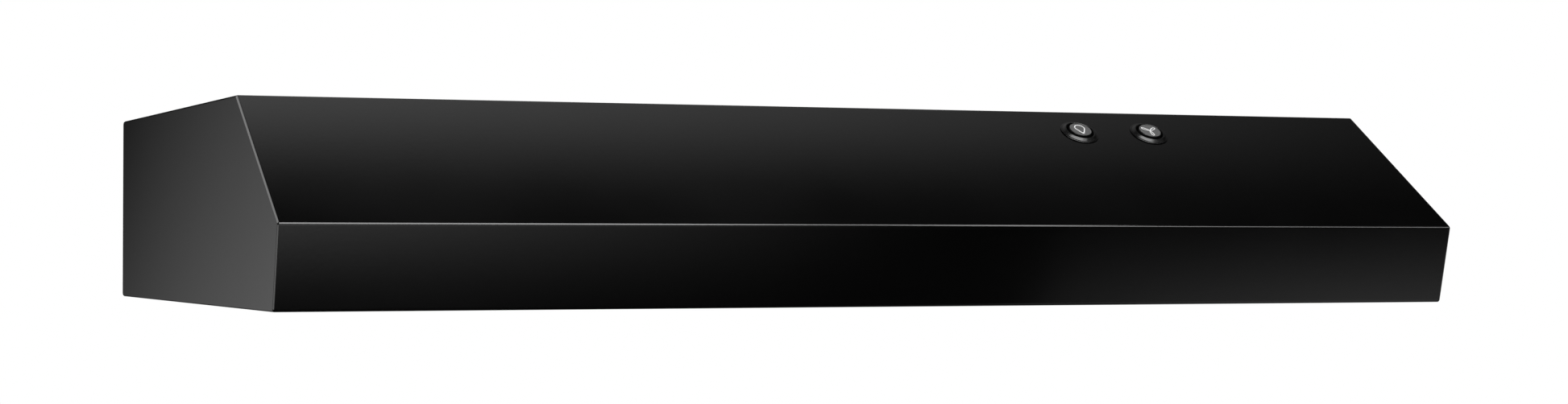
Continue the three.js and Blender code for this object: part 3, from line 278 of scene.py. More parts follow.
def solid_from_loops(loops, ring=False):
    """Skins equal-length closed loops of points in millimetres. A ring joins the last loop to the first."""
    bm = bmesh.new()
    rows = [[bm.verts.new(Vector(p) * MM) for p in loop] for loop in loops]
    count = len(rows[0])
    pairs = list(zip(rows, rows[1:])) + ([(rows[-1], rows[0])] if ring else [])
    for a, b in pairs:
        for i in range(count):
            j = (i + 1) % count
            bm.faces.new((a[i], a[j], b[j], b[i]))
    if not ring:
        bm.faces.new(list(reversed(rows[0])))
        bm.faces.new(rows[-1])
    bmesh.ops.remove_doubles(bm, verts=bm.verts, dist=1e-7)
    bmesh.ops.recalc_face_normals(bm, faces=bm.faces)
    return bm


def offset_open(path, distance):
    """Moves an open path of (a, b) points to its left, with mitred corners."""
    points = [Vector(p) for p in path]
    lefts = []
    for p, q in zip(points, points[1:]):
        d = (q - p).normalized()
        lefts.append(Vector((-d.y, d.x)))
    moved = []
    for i, p in enumerate(points):
        before, after = lefts[max(i - 1, 0)], lefts[min(i, len(lefts) - 1)]
        mitre = (before + after).normalized()
        moved.append(p + mitre * (distance / mitre.dot(after)))
    return [tuple(p) for p in moved]


def inset_closed(outline, distance):
    around = [outline[-1], *outline, outline[0]]
    return offset_open(around, distance)[1:-1]


def round_corners(points, radii, steps=7, closed=True):
    """Replaces each corner by an arc of its own radius."""
    out = []
    count = len(points)
    for i, corner in enumerate(points):
        r = radii[i]
        if not r or (not closed and i in (0, count - 1)):
            out.append(tuple(corner))
            continue
        here = Vector(corner)
        back = (Vector(points[i - 1]) - here).normalized()
        on = (Vector(points[(i + 1) % count]) - here).normalized()
        half = back.angle(on) / 2
        centre = here + (back + on).normalized() * (r / math.sin(half))
        start = here + back * (r / math.tan(half)) - centre
        sweep = math.pi - 2 * half
        if back.x * on.y - back.y * on.x > 0:
            sweep = -sweep
        for k in range(steps + 1):
            a = sweep * k / steps
            c, s = math.cos(a), math.sin(a)
            out.append((centre.x + c * start.x - s * start.y, centre.y + s * start.x + c * start.y))
    return out


def grown(span, by):
    return span[0] - by, span[1] + by


def rectangle(x, y, r=0.0, steps=5):
    corners = [(x[0], y[0]), (x[1], y[0]), (x[1], y[1]), (x[0], y[1])]
    return round_corners(corners, [r] * 4, steps) if r else corners


def circle(radius, centre=(0.0, 0.0), sides=48):
    return [(centre[0] + radius * math.cos(2 * math.pi * i / sides),
             centre[1] + radius * math.sin(2 * math.pi * i / sides)) for i in range(sides)]


def along_x(outline, x0, x1):
    """A closed (y, z) outline drawn out along X."""
    return solid_from_loops([[(x, y, z) for y, z in outline] for x in (x0, x1)])


def along_z(outline, z0, z1):
    return solid_from_loops([[(x, y, z) for x, y in outline] for z in (z0, z1)])


def box(x, y, z):
    return along_z(rectangle(x, y), z[0], z[1])


def turned(profile, segments=64):
    """Turns a closed list of (radius, height) round Z. Points on the axis close it there."""
    loops = []
    for k in range(segments):
        a = 2 * math.pi * k / segments
        loops.append([(r * math.cos(a), r * math.sin(a), z) for r, z in profile])
    bm = bmesh.new()
    rows = [[bm.verts.new(Vector(p) * MM) for p in loop] for loop in loops]
    count = len(profile)
    for k in range(segments):
        a, b = rows[k], rows[(k + 1) % segments]
        for i in range(count):
            j = (i + 1) % count
            if profile[i][0] < 1e-9 and profile[j][0] < 1e-9:
                continue
            bm.faces.new((a[i], a[j], b[j], b[i]))
    bmesh.ops.remove_doubles(bm, verts=bm.verts, dist=1e-8)
    bmesh.ops.dissolve_degenerate(bm, edges=bm.edges, dist=1e-9)
    bmesh.ops.recalc_face_normals(bm, faces=bm.faces)
    return bm


def moved(bm, matrix):
    bm.transform(matrix)
    return bm


def merged(*parts):
    """One bmesh holding several closed shells."""
    out = parts[0]
    for part in parts[1:]:
        mesh = bpy.data.meshes.new("part")
        part.to_mesh(mesh)
        part.free()
        out.from_mesh(mesh)
        bpy.data.meshes.remove(mesh)
    return out


def carve(bm, tools, join=()):
    """Cuts and joins closed solids exactly, and gives back one bmesh."""
    base_mesh = bpy.data.meshes.new("base")
    bm.to_mesh(base_mesh)
    bm.free()
    base = bpy.data.objects.new("base", base_mesh)
    bpy.context.scene.collection.objects.link(base)
    helpers = []
    for operation, solids in (("UNION", join), ("DIFFERENCE", tools)):
        for solid in solids:
            mesh = bpy.data.meshes.new("tool")
            solid.to_mesh(mesh)
            solid.free()
            tool = bpy.data.objects.new("tool", mesh)
            bpy.context.scene.collection.objects.link(tool)
            modifier = base.modifiers.new("cut", "BOOLEAN")
            modifier.operation = operation
            modifier.solver = "EXACT"
            modifier.object = tool
            helpers.append(tool)
    bpy.context.view_layer.update()
    graph = bpy.context.evaluated_depsgraph_get()
    result = bmesh.new()
    result.from_mesh(base.evaluated_get(graph).to_mesh())
    for obj in [base, *helpers]:
        mesh = obj.data
        bpy.data.objects.remove(obj)
        bpy.data.meshes.remove(mesh)
    bmesh.ops.remove_doubles(result, verts=result.verts, dist=2e-7)
    bmesh.ops.dissolve_limit(result, angle_limit=math.radians(0.4), verts=result.verts, edges=result.edges)
    return result


def soften(bm, width=0.3, segments=2, angle=32.0):
    """Bevels every edge sharper than the angle."""
    bm.normal_update()
    edges = [e for e in bm.edges if len(e.link_faces) == 2 and e.calc_face_angle(0.0) > math.radians(angle)]
    bmesh.ops.bevel(bm, geom=edges, offset=width * MM, segments=segments, profile=0.5, affect="EDGES",
                    clamp_overlap=True, miter_outer="SHARP")
    return bm


def refine(node, material, body, width=0.25, angle=32.0, segments=2, shade_angle=40.0):
    """A CAD node's own shape with its coplanar faces joined, its edges rounded and its curves shaded smooth."""
    bm = bmesh.new()
    bm.from_mesh(frame["nodes"][node].data)
    bmesh.ops.remove_doubles(bm, verts=bm.verts, dist=2e-6)
    bmesh.ops.dissolve_limit(bm, angle_limit=math.radians(0.6), verts=bm.verts, edges=bm.edges)
    if width:
        soften(bm, width, segments, angle)
    return add_object(node + "_finished", bm, material, body, node, shade_angle)


# ------------------------------------------------------------------ the painted shell
def canopy():
    """One folded sheet: rear hem, top, slope, front band and the edge turned in under it."""
    line = [(WALL, -14.0), *PROFILE[:4], (BAND_FOOT + 18, RIM_Z), (BAND_FOOT + 18, RIM_Z + 7)]
    path = round_corners(line, [0, BEND_R, BEND_R, BEND_R, BEND_R, 1.4, 0], 8, closed=False)
    section = path + list(reversed(offset_open(path, SHEET)))
    body = along_x(section, -CANOPY_END, CANOPY_END)
    duct = along_z(rectangle(grown(COLLAR_X, 0.6), grown(COLLAR_Y, 0.8), 2.0), -6, 6)
    tools = [duct]
    for x, y in KEYHOLES:
        tools.append(along_z(circle(4.5, (x, y), 32), -5, 5))
        tools.append(box((x - 2.5, x + 2.5), (y, y + 12), (-5, 5)))
    for x in BUTTON_X.values():
        hole = moved(along_z(circle(9.9, sides=40), -6, 6), slope_matrix(x))
        tools.append(hole)
    bm = carve(body, tools)
    return add_object("canopy_sheet", bm, PAINT, "hood", "canopy", 30)


def slope_matrix(x):
    """Own +Z out of the slope, own +Y up it, at a button's centre."""
    c, s = math.cos(SLOPE_ANGLE), math.sin(SLOPE_ANGLE)
    place = Matrix.Translation(Vector((x, TOP_EDGE - BUTTON_DOWN * c, -BUTTON_DOWN * s)) * MM)
    return place @ Matrix.Rotation(SLOPE_ANGLE, 4, "X")


def end_panel(side):
    """A pan: flat face, rolled edge, then a joggle and a flange that the canopy laps over."""
    outline = round_corners(PROFILE, [3.0, BEND_R, BEND_R, BEND_R, 3.0], 8)
    roll = 1.4
    rings = []
    for degrees in (0, 12, 24, 66, 78, 90):  # the middle of the roll is pressed nearly flat
        a = math.radians(degrees)
        rings.append((roll * (1 - math.sin(a)), END - roll * (1 - math.cos(a))))
    rings += [(0.95, END - roll), (0.95, 367.4), (1.55, 367.4), (1.55, 378.6), (1.95, 379.2)]
    loops = []
    for inset, x in rings:
        ring = inset_closed(outline, inset) if inset else outline
        loops.append([(side * x, y, z) for y, z in ring])
    bm = solid_from_loops(loops)
    name = "right" if side > 0 else "left"
    return add_object(name + "_end_sheet", bm, PAINT, "hood", name + "_end_panel", 30)


def rear_panel():
    """The back, with its foot turned in, the cable's hole, two slots and a knock-out for a rear duct."""
    y = REAR_FACE
    path = round_corners([(y - 18, RIM_Z), (y, RIM_Z), (y, -1.8)], [0, 1.4, 0], 6, closed=False)
    section = path + list(reversed(offset_open(path, SHEET)))
    body = along_x(section, -378.4, 378.4)
    tools = [moved(along_z(circle(11.0, sides=40), -5, 5),
                   Matrix.Translation(Vector((CABLE_HOLE[0], y, CABLE_HOLE[1])) * MM)
                   @ Matrix.Rotation(math.pi / 2, 4, "X"))]
    for x in (-240, 240):
        tools.append(box((x - 3, x + 3), (y - 5, y + 5), (-70, -50)))
    # the knock-out for a duct that leaves backwards: slits with bridges left between them
    for x0, x1 in ((-126, -66), (-62, -2), (2, 62), (66, 126)):
        for z in (-24, -104):
            tools.append(box((x0, x1), (y - 5, y + 5), (z - 0.5, z + 0.5)))
    for z0, z1 in ((-102, -66), (-62, -26)):
        for x in (-127, 127):
            tools.append(box((x - 0.5, x + 0.5), (y - 5, y + 5), (z0, z1)))
    bm = carve(body, tools)
    return add_object("rear_sheet", bm, PAINT, "hood", "rear_panel", 30)


def underside_panel():
    """The recessed panel that holds the filter and the lamp."""
    x, y0, y1 = 377.9, -238.4, 246.2
    cuts = [rectangle(grown(FILTER_X, 1.5), grown(FILTER_Y, 1.5), 2.0),
            rectangle(grown(LENS_X, 1.0), grown(LENS_Y, 1.0), 3.0)]
    cuts += [circle(2.2, place, 20) for place in PANEL_SCREWS]
    holes = [along_z(cut, -125, -90) for cut in cuts]
    path = [(y0, PANEL_TOP + 8), (y0, PANEL_FACE), (y1, PANEL_FACE), (y1, PANEL_TOP + 8)]
    path = round_corners(path, [0, 1.2, 1.2, 0], 5, closed=False)
    section = path + list(reversed(offset_open(path, SHEET)))
    bm = carve(along_x(section, -x, x), holes)
    return add_object("underside_sheet", bm, PAINT_INSIDE, "hood", "underside_panel", 30)


# ------------------------------------------------------------------ push buttons
def bezel(kind):
    """A thin black collar flat on the slope, and a bead with a sloping side that stands up round the cap."""
    profile = [(8.7, -8.0), (9.7, -8.0), (9.7, 0.35), (12.2, 0.35), (12.5, 0.4), (12.6, 0.5), (12.5, 0.6)]
    profile += [(12.2, 0.66), (11.7, 0.68), (11.45, 0.76), (11.3, 0.9), (10.0, 1.8), (9.8, 1.89), (9.55, 1.9)]
    profile += [(9.3, 1.82), (9.15, 1.65), (8.85, 0.7)]
    ring = turned(profile, 96)
    bm = moved(ring, slope_matrix(BUTTON_X[kind]))
    return add_object(kind + "_ring", bm, BLACK_PLASTIC, "hood", kind + "_bezel", 50)


def cap(kind):
    """A round cap on a stem, with a slightly dished top."""
    shoulder = CAP_TOP - 0.6
    profile = [(0.0, -16.0), (2.1, -16.0), (2.4, -15.7), (2.4, -4.0), (CAP_R - 0.3, -4.0), (CAP_R, -3.7)]
    profile.append((CAP_R, shoulder))
    for k in range(1, 8):
        a = math.radians(90 * k / 7)
        profile.append((CAP_R - 0.5 + 0.5 * math.cos(a), shoulder + 0.5 * math.sin(a)))
    profile += [(6.4, CAP_TOP - 0.12), (4.5, CAP_TOP - 0.22), (2.5, CAP_TOP - 0.27), (0.0, CAP_TOP - 0.3)]
    place = slope_matrix(BUTTON_X[kind])
    cap_body = kind + "_button"
    obj = add_object(kind + "_cap", moved(turned(profile, 80), place), CAP_PLASTIC, cap_body,
                     cap_body, 50)
    obj.data.materials.append(CAP_SIDE_PAINTED_SHADE)
    back = place.inverted()
    for face in obj.data.polygons:  # the face is the grey cap plastic and the side a near-black copy of it, painted shade that darkens the gap round the cap
        if (back @ face.center).xy.length > (CAP_R - 0.35) * MM:
            face.material_index = 1
    return obj


def stroke(points, width, closed, z0=CAP_TOP - 0.35, z1=CAP_TOP - 0.05):
    """A printed line of even width along points, as a thin raised pad."""
    pts = [Vector(p) for p in points]
    count = len(pts)
    rows = []
    for i, p in enumerate(pts):
        before = pts[i - 1] if (closed or i > 0) else p
        after = pts[(i + 1) % count] if (closed or i < count - 1) else p
        d = (after - before).normalized()
        n = Vector((-d.y, d.x)) * (width / 2)
        rows.append([(*(p + n), z0), (*(p + n), z1), (*(p - n), z1), (*(p - n), z0)])
    return solid_from_loops(rows, ring=closed)


def bulb_icon():
    """A bulb in outline: a round globe that tapers to a short cap."""
    outline = []
    for k in range(29):
        a = math.radians(-32 + 244 * k / 28)
        outline.append((3.3 * math.cos(a), 1.7 + 3.3 * math.sin(a)))
    path = [*outline, (-1.15, -3.3), (-0.95, -4.1), (0.95, -4.1), (1.15, -3.3)]
    return merged(stroke(path, 0.7, True), stroke([(-0.75, -4.75), (0.75, -4.75)], 0.6, False))


def fan_icon():
    """Three narrow blades in outline, which meet in the middle."""
    parts = []
    for turn in (35, 145, 272):
        a = math.radians(turn)
        c, s = math.cos(a), math.sin(a)
        blade = []
        for k in range(24):
            t = 2 * math.pi * k / 24
            along = 3.1 - 2.75 * math.cos(t)
            across = 0.8 * math.sin(t) * (1.0 - 0.35 * math.cos(t))
            blade.append((along * c - across * s, along * s + across * c))
        parts.append(stroke(blade, 0.55, True))
    return merged(*parts)


def icon(kind):
    bm = bulb_icon() if kind == "light" else fan_icon()
    bm = moved(bm, slope_matrix(BUTTON_X[kind]))
    return add_object(kind + "_icon", bm, ICON_PAINT, kind + "_button", None, 30, False)


# ------------------------------------------------------------------ filter
def sweep_round(rect_x, rect_y, corner, section, steps=6):
    """Sweeps a closed (outset, z) section round a rectangle with rounded corners."""
    loops = []
    for outset, z in section:
        ring = rectangle(grown(rect_x, outset), grown(rect_y, outset), max(corner + outset, 0.2), steps)
        loops.append([(px, py, z) for px, py in ring])
    return solid_from_loops(loops, ring=True)


def filter_frame():
    """A folded aluminium channel round the mesh, with the latch's slot and two tongues at the back."""
    top = PANEL_FACE + 8.5
    section = [(0.0, PANEL_FACE + 0.8), (0.0, top - 0.8), (-0.8, top), (-12.0, top), (-12.0, top - 0.6),
               (-1.0, top - 0.6), (-0.6, top - 1.0), (-0.6, PANEL_FACE + 1.0), (-1.0, PANEL_FACE + 0.6),
               (-16.0, PANEL_FACE + 0.6), (-16.0, PANEL_FACE), (-0.8, PANEL_FACE)]
    rim = sweep_round(FILTER_X, FILTER_Y, 3.0, section)
    slot_cut = box((-10, 10), (-103.5, -93.5), (PANEL_FACE - 1, PANEL_FACE + 1.1))
    window = box((-14.5, 14.5), (-107.5, -105.4), (-108.1, -106.1))
    bm = carve(rim, [slot_cut, window])
    tongues = [box((s * 110 - 12, s * 110 + 12), (186.0, 196.0), (-107.7, -106.5)) for s in (-1, 1)]
    bm = merged(bm, *[soften(t, 0.3) for t in tongues])
    return add_object("filter_rim", bm, ALUMINIUM, "filter", "filter_frame", 35)


def filter_mesh():
    """Expanded aluminium in two layers, gently pleated."""
    x0, x1, y0, y1 = -180.9, 180.9, -105.0, 185.0
    bm = bmesh.new()
    for level, cell_x, cell_y, phase in ((-106.4, 11.3, 5.8, 0.0), (-102.6, 9.0, 5.0, 0.5)):
        columns = int(round((x1 - x0) / cell_x))
        rows = int(round((y1 - y0) / cell_y))
        dx, dy = (x1 - x0) / columns, (y1 - y0) / rows
        grid = {}

        def vert(i, j):
            if (i, j) not in grid:
                x, y = x0 + dx * i / 2, y0 + dy * j / 2
                z = level + 0.9 * math.sin(2 * math.pi * (y - y0) / 24.0 + phase * math.pi)
                z += 0.25 if j % 2 else -0.25
                grid[(i, j)] = bm.verts.new(Vector((x, y, z)) * MM)
            return grid[(i, j)]

        for i in range(1, 2 * columns):
            for j in range(1, 2 * rows):
                if (i + j) % 2 == 0:
                    bm.faces.new((vert(i - 1, j), vert(i, j - 1), vert(i + 1, j), vert(i, j + 1)))
    faces = [f for f in bm.faces
             if f.calc_center_median().y * 1000 < -90 and abs(f.calc_center_median().x * 1000) < 31]
    bmesh.ops.delete(bm, geom=faces, context="FACES")
    bmesh.ops.recalc_face_normals(bm, faces=bm.faces)
    bmesh.ops.wireframe(bm, faces=bm.faces, thickness=0.42 * MM, offset=0.0, use_replace=True,
                        use_boundary=True, use_even_offset=False)
    return add_object("filter_expanded_mesh", bm, ALUMINIUM, "filter", "filter_mesh", None)


# ------------------------------------------------------------------ lamp
def lens():
    """A shallow tray with ribs across its foot and two hinge tongues at the back."""
    foot, rim, wall = PANEL_FACE - 2.2, PANEL_TOP + 4.0, 1.6
    base = rectangle(LENS_X, LENS_Y, 4.0, 6)
    outer = [(0.9, foot + 0.0), (0.25, foot + 0.25), (0.0, foot + 0.9), (0.0, rim - 0.3), (0.3, rim)]
    inner = [(wall - 0.3, rim), (wall, rim - 0.3), (wall, foot + wall + 0.6), (wall + 0.6, foot + wall)]
    loops = [[(px, py, z) for px, py in inset_closed(base, d)] for d, z in outer + inner]
    bm = solid_from_loops(loops)
    ribs = []
    for k in range(36):
        cx = -74.5 + k * 149.0 / 35
        half = 1.7
        arc = [(cx + half * math.cos(t), foot + 0.05 - 0.42 * math.sin(t))
               for t in [math.pi * n / 6 for n in range(7)]]
        pts = arc + [(cx - half, foot + 0.3), (cx + half, foot + 0.3)]
        ribs.append(solid_from_loops([[(px, yy, pz) for px, pz in pts] for yy in (-202.5, -137.5)]))
    tongues = [soften(box((s * 50 - 7, s * 50 + 7), (-133.8, -125.0), (-107.7, -106.5)), 0.3) for s in (-1, 1)]
    bm = merged(bm, *ribs, *tongues)
    return add_object("lamp_lens", bm, LENS_PLASTIC, "lens", "light_lens", 40)


def bulb_matrix():
    low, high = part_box("lamp_socket")
    centre = Vector((low[0], (low[1] + high[1]) / 2, (low[2] + high[2]) / 2))
    return Matrix.Translation(centre) @ Matrix.Rotation(-math.pi / 2, 4, "Y")


def bulb():
    """The glass, its screw base and the porcelain holder, which all share one axis along X."""
    points = [(12.0, 0.3), (12.0, 5.0), (12.6, 9.0)]
    for k in range(21):
        a = math.radians(-58 + 148 * k / 20)
        points.append((max(22.0 * math.cos(a), 0.0), 40 + 22.0 * math.sin(a)))
    points[-1] = (0.0, 62.0)
    inner = [(max(r - 0.9, 0.0), z) for r, z in points]
    inner[-1] = (0.0, 61.1)
    glass = moved(turned(points + list(reversed(inner)), 64), bulb_matrix())
    add_object("bulb_envelope", glass, BULB_GLASS, "hood", "bulb_glass", 60, False)
    thread = [(0.0, -25.0), (4.6, -25.0), (5.2, -24.2), (6.0, -22.4), (9.5, -21.0), (11.4, -20.2)]
    for k in range(5):
        z = -19.0 + 3.2 * k
        thread += [(12.1, z), (12.7, z + 0.8), (12.7, z + 1.3), (12.1, z + 2.2)]
    thread += [(12.3, -3.0), (12.9, -1.5), (12.4, 0.0), (0.0, 0.0)]
    base = moved(turned(thread, 56), bulb_matrix())
    add_object("bulb_screw_base", base, ALUMINIUM, "hood", "bulb_base", 60, False)
    cup = [(13.8, 0.0), (15.7, 0.0), (16.4, 0.8), (16.5, 2.0), (16.5, 24.0), (15.2, 26.0), (15.2, 36.5),
           (14.0, 38.0), (0.0, 38.0), (0.0, 27.0), (13.8, 27.0)]
    flip = Matrix.Rotation(math.pi, 4, "X")
    socket = moved(turned(cup, 56), bulb_matrix() @ flip)
    add_object("lamp_holder", socket, PORCELAIN, "hood", "lamp_socket", 50)


# ------------------------------------------------------------------ blower and duct
def collar():
    """The duct collar: a hemmed sleeve with a flange under the top, and the ledge that the flap shuts on."""
    section = [(0.0, -22.0), (0.0, -1.7), (0.2, -1.5), (6.0, -1.5), (6.0, -0.9), (0.2, -0.9), (0.0, -0.7),
               (0.0, 10.9), (0.0, 11.7), (-0.3, 12.0), (-0.9, 12.0), (-1.2, 11.7), (-1.2, 6.0), (-0.6, 5.8),
               (-0.6, -22.0)]
    bm = sweep_round(COLLAR_X, COLLAR_Y, 2.0, section)
    ledge = soften(box((-124.5, 124.5), (155.5, 160.6), (-11.4, -10.8)), 0.15)
    bm = merged(bm, ledge)
    return add_object("collar_sheet", bm, ZINC, "hood", "duct_collar", 35)


def screw(node):
    """Pan head with a cross recess."""
    low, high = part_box(node)
    cx, cy = (low[0] + high[0]) / 2 / MM, (low[1] + high[1]) / 2 / MM
    foot = low[2] / MM
    top = high[2] / MM
    head = [(0.0, 0.0), (1.6, 0.05), (2.6, 0.3), (3.4, 0.75), (3.9, 1.3), (4.2, 1.9), (4.2, 2.2), (1.9, 2.2)]
    threads = []
    z = 2.6
    while z + 1.4 < top - foot - 1.6:
        threads += [(1.55, z), (1.9, z + 0.45), (1.9, z + 0.6), (1.55, z + 1.05)]
        z += 1.2
    shank = [*threads, (1.5, top - foot - 1.5), (0.0, top - foot)]
    bm = turned(head + shank, 36)
    arms = [box((-2.2, 2.2), (-0.42, 0.42), (-1, 1.3)), box((-0.42, 0.42), (-2.2, 2.2), (-1, 1.3))]
    bm = carve(bm, arms)
    bm.transform(Matrix.Translation(Vector((cx, cy, foot)) * MM))
    return add_object(node + "_finished", bm, STEEL, "hood", node, 35)


# ------------------------------------------------------------------ assembly
def build():
    canopy()
    end_panel(-1)
    end_panel(1)
    rear_panel()
    underside_panel()
    for kind in BUTTON_X:
        bezel(kind)
        cap(kind)
        icon(kind)
    filter_frame()
    filter_mesh()
    lens()
    bulb()
    collar()
    for node in frame["nodes"]:
        if "_screw" in node:
            screw(node)
    zinc = ("left_support_rail", "right_support_rail", "blower_housing", "blower_inlet_plate", "motor_bracket",
            "lamp_housing", "switch_bracket", "wiring_box", "wiring_box_cover")
    for node in zinc:
        refine(node, ZINC, "hood", 0.12)
    refine("motor_body", STEEL, "hood", 0.5)
    refine("damper_rod", STEEL, "hood", 0.2, 45)
    refine("damper_flap", ALUMINIUM, "damper", 0.15)
    refine("blower_wheel", ALUMINIUM, "blower_rotor", 0.0)
    refine("motor_shaft", STEEL, "blower_rotor", 0.4, 45)
    refine("wheel_nut", STEEL, "blower_rotor", 0.3, 45)
    refine("filter_latch", BLACK_PLASTIC, "latch", 0.35)
    refine("cable_bushing", BODY_PLASTIC, "hood", 0.3, 45)
    for node in ("control_module", "run_capacitor", "light_switch", "fan_switch"):
        refine(node, BODY_PLASTIC, "hood", 0.6)
    for node in ("supply_lead", "motor_lead", "lamp_lead", "light_switch_lead", "fan_switch_lead"):
        refine(node, SHEATH, "hood", 0.0)


# ------------------------------------------------------------------ floor, light and camera
def stage():
    bm = bmesh.new()
    edge = [bm.verts.new((7.0 * math.cos(a), 7.0 * math.sin(a), -0.95))
            for a in [2 * math.pi * k / 96 for k in range(96)]]
    bm.faces.new(edge)
    floor = add_object("floor", bm, backdrop("floor_paint", 0.86), angle=None)
    floor.visible_glossy = False


def light(name, place, target, size, power, gloss=True):
    """A softbox. It shows either in gloss or on matt surfaces."""
    data = bpy.data.lights.new(name, "AREA")
    data.shape = "RECTANGLE"
    data.size, data.size_y = size
    data.energy = power
    obj = bpy.data.objects.new(name, data)
    bpy.context.scene.collection.objects.link(obj)
    obj.location = place
    obj.rotation_euler = (Vector(target) - Vector(place)).to_track_quat("-Z", "Y").to_euler()
    obj.visible_camera = False
    obj.visible_glossy = gloss
    obj.visible_diffuse = not gloss
    return obj


GLOW_TOWARD = Vector((0.8, 0.55, -0.25)).normalized()
GLOW_RAMP = {"From Min": 0.6, "From Max": 0.98, "To Min": 0.012, "To Max": 0.8}


def world():
    data = bpy.data.worlds.new("studio")
    bpy.context.scene.world = data
    data.use_nodes = True
    tree = data.node_tree
    tree.nodes.clear()
    output = tree.nodes.new("ShaderNodeOutputWorld")
    mix = tree.nodes.new("ShaderNodeMixShader")
    path = tree.nodes.new("ShaderNodeLightPath")
    seen = tree.nodes.new("ShaderNodeBackground")
    seen.inputs["Color"].default_value = (1.0, 1.0, 1.0, 1.0)
    seen.inputs["Strength"].default_value = 1.0
    cast = tree.nodes.new("ShaderNodeBackground")
    # what the gloss and the matt surfaces see: dark all round, and a soft glow low on the right behind
    toward = tree.nodes.new("ShaderNodeVectorMath")
    toward.operation = "DOT_PRODUCT"
    toward.inputs[1].default_value = GLOW_TOWARD
    tree.links.new(tree.nodes.new("ShaderNodeTexCoord").outputs["Generated"], toward.inputs[0])
    glow = tree.nodes.new("ShaderNodeMapRange")
    glow.interpolation_type = "SMOOTHSTEP"
    for socket, value in GLOW_RAMP.items():
        glow.inputs[socket].default_value = value
    tree.links.new(toward.outputs["Value"], glow.inputs["Value"])
    tree.links.new(glow.outputs["Result"], cast.inputs["Strength"])
    tree.links.new(path.outputs["Is Camera Ray"], mix.inputs["Fac"])
    tree.links.new(cast.outputs["Background"], mix.inputs[1])
    tree.links.new(seen.outputs["Background"], mix.inputs[2])
    tree.links.new(mix.outputs["Shader"], output.inputs["Surface"])


def camera():
    data = bpy.data.cameras.new("camera")
    data.lens = 64.57
    data.sensor_width = 36.0
    data.clip_end = 60.0
    obj = bpy.data.objects.new("camera", data)
    bpy.context.scene.collection.objects.link(obj)
    obj.location = (-0.7102, -1.7540, -0.0847)
    turn = Matrix.Rotation(math.radians(-22.59), 4, "Z") @ Matrix.Rotation(math.radians(90.822), 4, "X")
    obj.rotation_euler = (turn @ Matrix.Rotation(math.radians(0.046), 4, "Z")).to_euler()
    bpy.context.scene.camera = obj


def card(name, corner, across, up, strength, ramp_across, ramp_up):
    """A softbox seen only in gloss. Its glow runs from one value to another along each of its two sides."""
    corner, across, up = Vector(corner), Vector(across), Vector(up)
    bm = bmesh.new()
    marks = bm.loops.layers.uv.new("place")
    ends = ((0, 0), (1, 0), (1, 1), (0, 1))
    face = bm.faces.new([bm.verts.new(corner + across * u + up * v) for u, v in ends])
    for loop, end in zip(face.loops, ends):
        loop[marks].uv = end
    material = bpy.data.materials.new(name + "_glow")
    material.use_nodes = True
    tree = material.node_tree
    tree.nodes.clear()
    place = tree.nodes.new("ShaderNodeTexCoord").outputs["UV"]
    split = tree.nodes.new("ShaderNodeSeparateXYZ")
    tree.links.new(place, split.inputs["Vector"])
    product = tree.nodes.new("ShaderNodeMath")
    product.operation = "MULTIPLY"
    for index, (axis, (start, end, low, high)) in enumerate((("X", ramp_across), ("Y", ramp_up))):
        ramp = tree.nodes.new("ShaderNodeMapRange")
        ramp.interpolation_type = "SMOOTHSTEP"
        for socket, value in zip(("From Min", "From Max", "To Min", "To Max"), (start, end, low, high)):
            ramp.inputs[socket].default_value = value
        tree.links.new(split.outputs[axis], ramp.inputs["Value"])
        tree.links.new(ramp.outputs["Result"], product.inputs[index])
    scale = tree.nodes.new("ShaderNodeMath")
    scale.operation = "MULTIPLY"
    scale.inputs[1].default_value = strength
    tree.links.new(product.outputs["Value"], scale.inputs[0])
    glow = tree.nodes.new("ShaderNodeEmission")
    tree.links.new(scale.outputs["Value"], glow.inputs["Strength"])
    output = tree.nodes.new("ShaderNodeOutputMaterial")
    tree.links.new(glow.outputs["Emission"], output.inputs["Surface"])
    obj = add_object(name, bm, material, angle=None)
    obj.visible_camera = False
    obj.visible_diffuse = False
    obj.visible_shadow = False
    obj.visible_transmission = False
    return obj


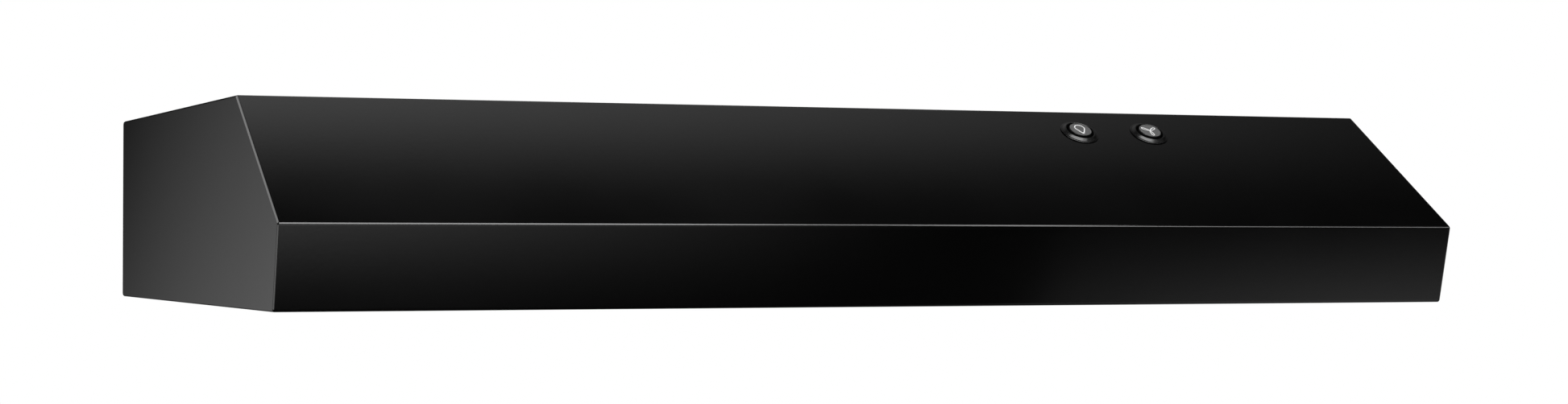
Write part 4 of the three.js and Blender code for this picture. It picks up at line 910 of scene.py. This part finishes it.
def lights():
    # the matt surfaces' soft light
    light("overhead", (0.0, 0.0, 4.0), (0.0, 0.0, 0.0), (12.0, 12.0), 780.0, gloss=False)
    light("front_fill", (-1.0, -2.4, 0.9), (0.0, 0.0, -0.1), (1.6, 1.6), 20.0, gloss=False)
    # the front light wall: it shows in the bends and the buttons, not in the flat faces
    light("front_wall", (-0.5, -1.45, 1.45), (-0.4, -0.25, -0.05), (2.5, 1.7), 88.0)
    light("front_right", (1.42, -1.45, 1.35), (1.02, -0.25, -0.05), (1.1, 1.6), 28.0)
    light("left_back", (-1.2, 0.7, 0.97), (-0.38, -0.2, -0.05), (0.9, 0.9), 5.0)
    light("left_side", (-1.8, -0.45, -0.45), (-0.38, -0.2, -0.05), (0.8, 0.8), 4.0)
    # over the slope: brighter towards the wall and towards the left-hand end. The two numbers that start
    # and end each ramp are fractions of the card's side, and the two after them are its glow there
    card("slope_card", (-0.48, -0.25, 0.25), (1.68, 0, 0), (0, 0.9, 0), 0.66,
         (-0.1, 0.75, 1.0, 0.05), (0.175, 0.27, 0.0, 1.0))
    card("slope_right_card", (0.35, -0.6, 0.26), (1.4, 0, 0), (0, 1.4, 0), 0.08,
         (0.0, 0.2, 0.0, 1.0), (0.35, 0.40, 1.0, 0.0))
    # in front of and below the band
    card("band_left_card", (-1.1, -0.5, -0.60), (1.35, 0, 0), (0, 0, 0.55), 1.2,
         (0.47, 0.95, 1.0, 0.0), (0.605, 0.82, 0.03, 1.0))
    card("band_right_card", (0.05, -0.52, -0.75), (1.3, 0, 0), (0, 0, 0.62), 0.62,
         (0.0, 0.42, 0.0, 1.0), (0.68, 0.88, 1.0, 0.05))
    # beside the left-hand end
    card("end_card", (-0.807, 0.45, -0.5), (0.57, 0, 0), (-0.26, 0, 0.8), 0.385,
         (0.5, 1.08, 1.0, 0.0), (0.4, 0.75, 1.0, 0.85))


bpy.context.scene.view_settings.view_transform = "Standard"
build()
stage()
world()
lights()
camera()
bpy.context.view_layer.update()
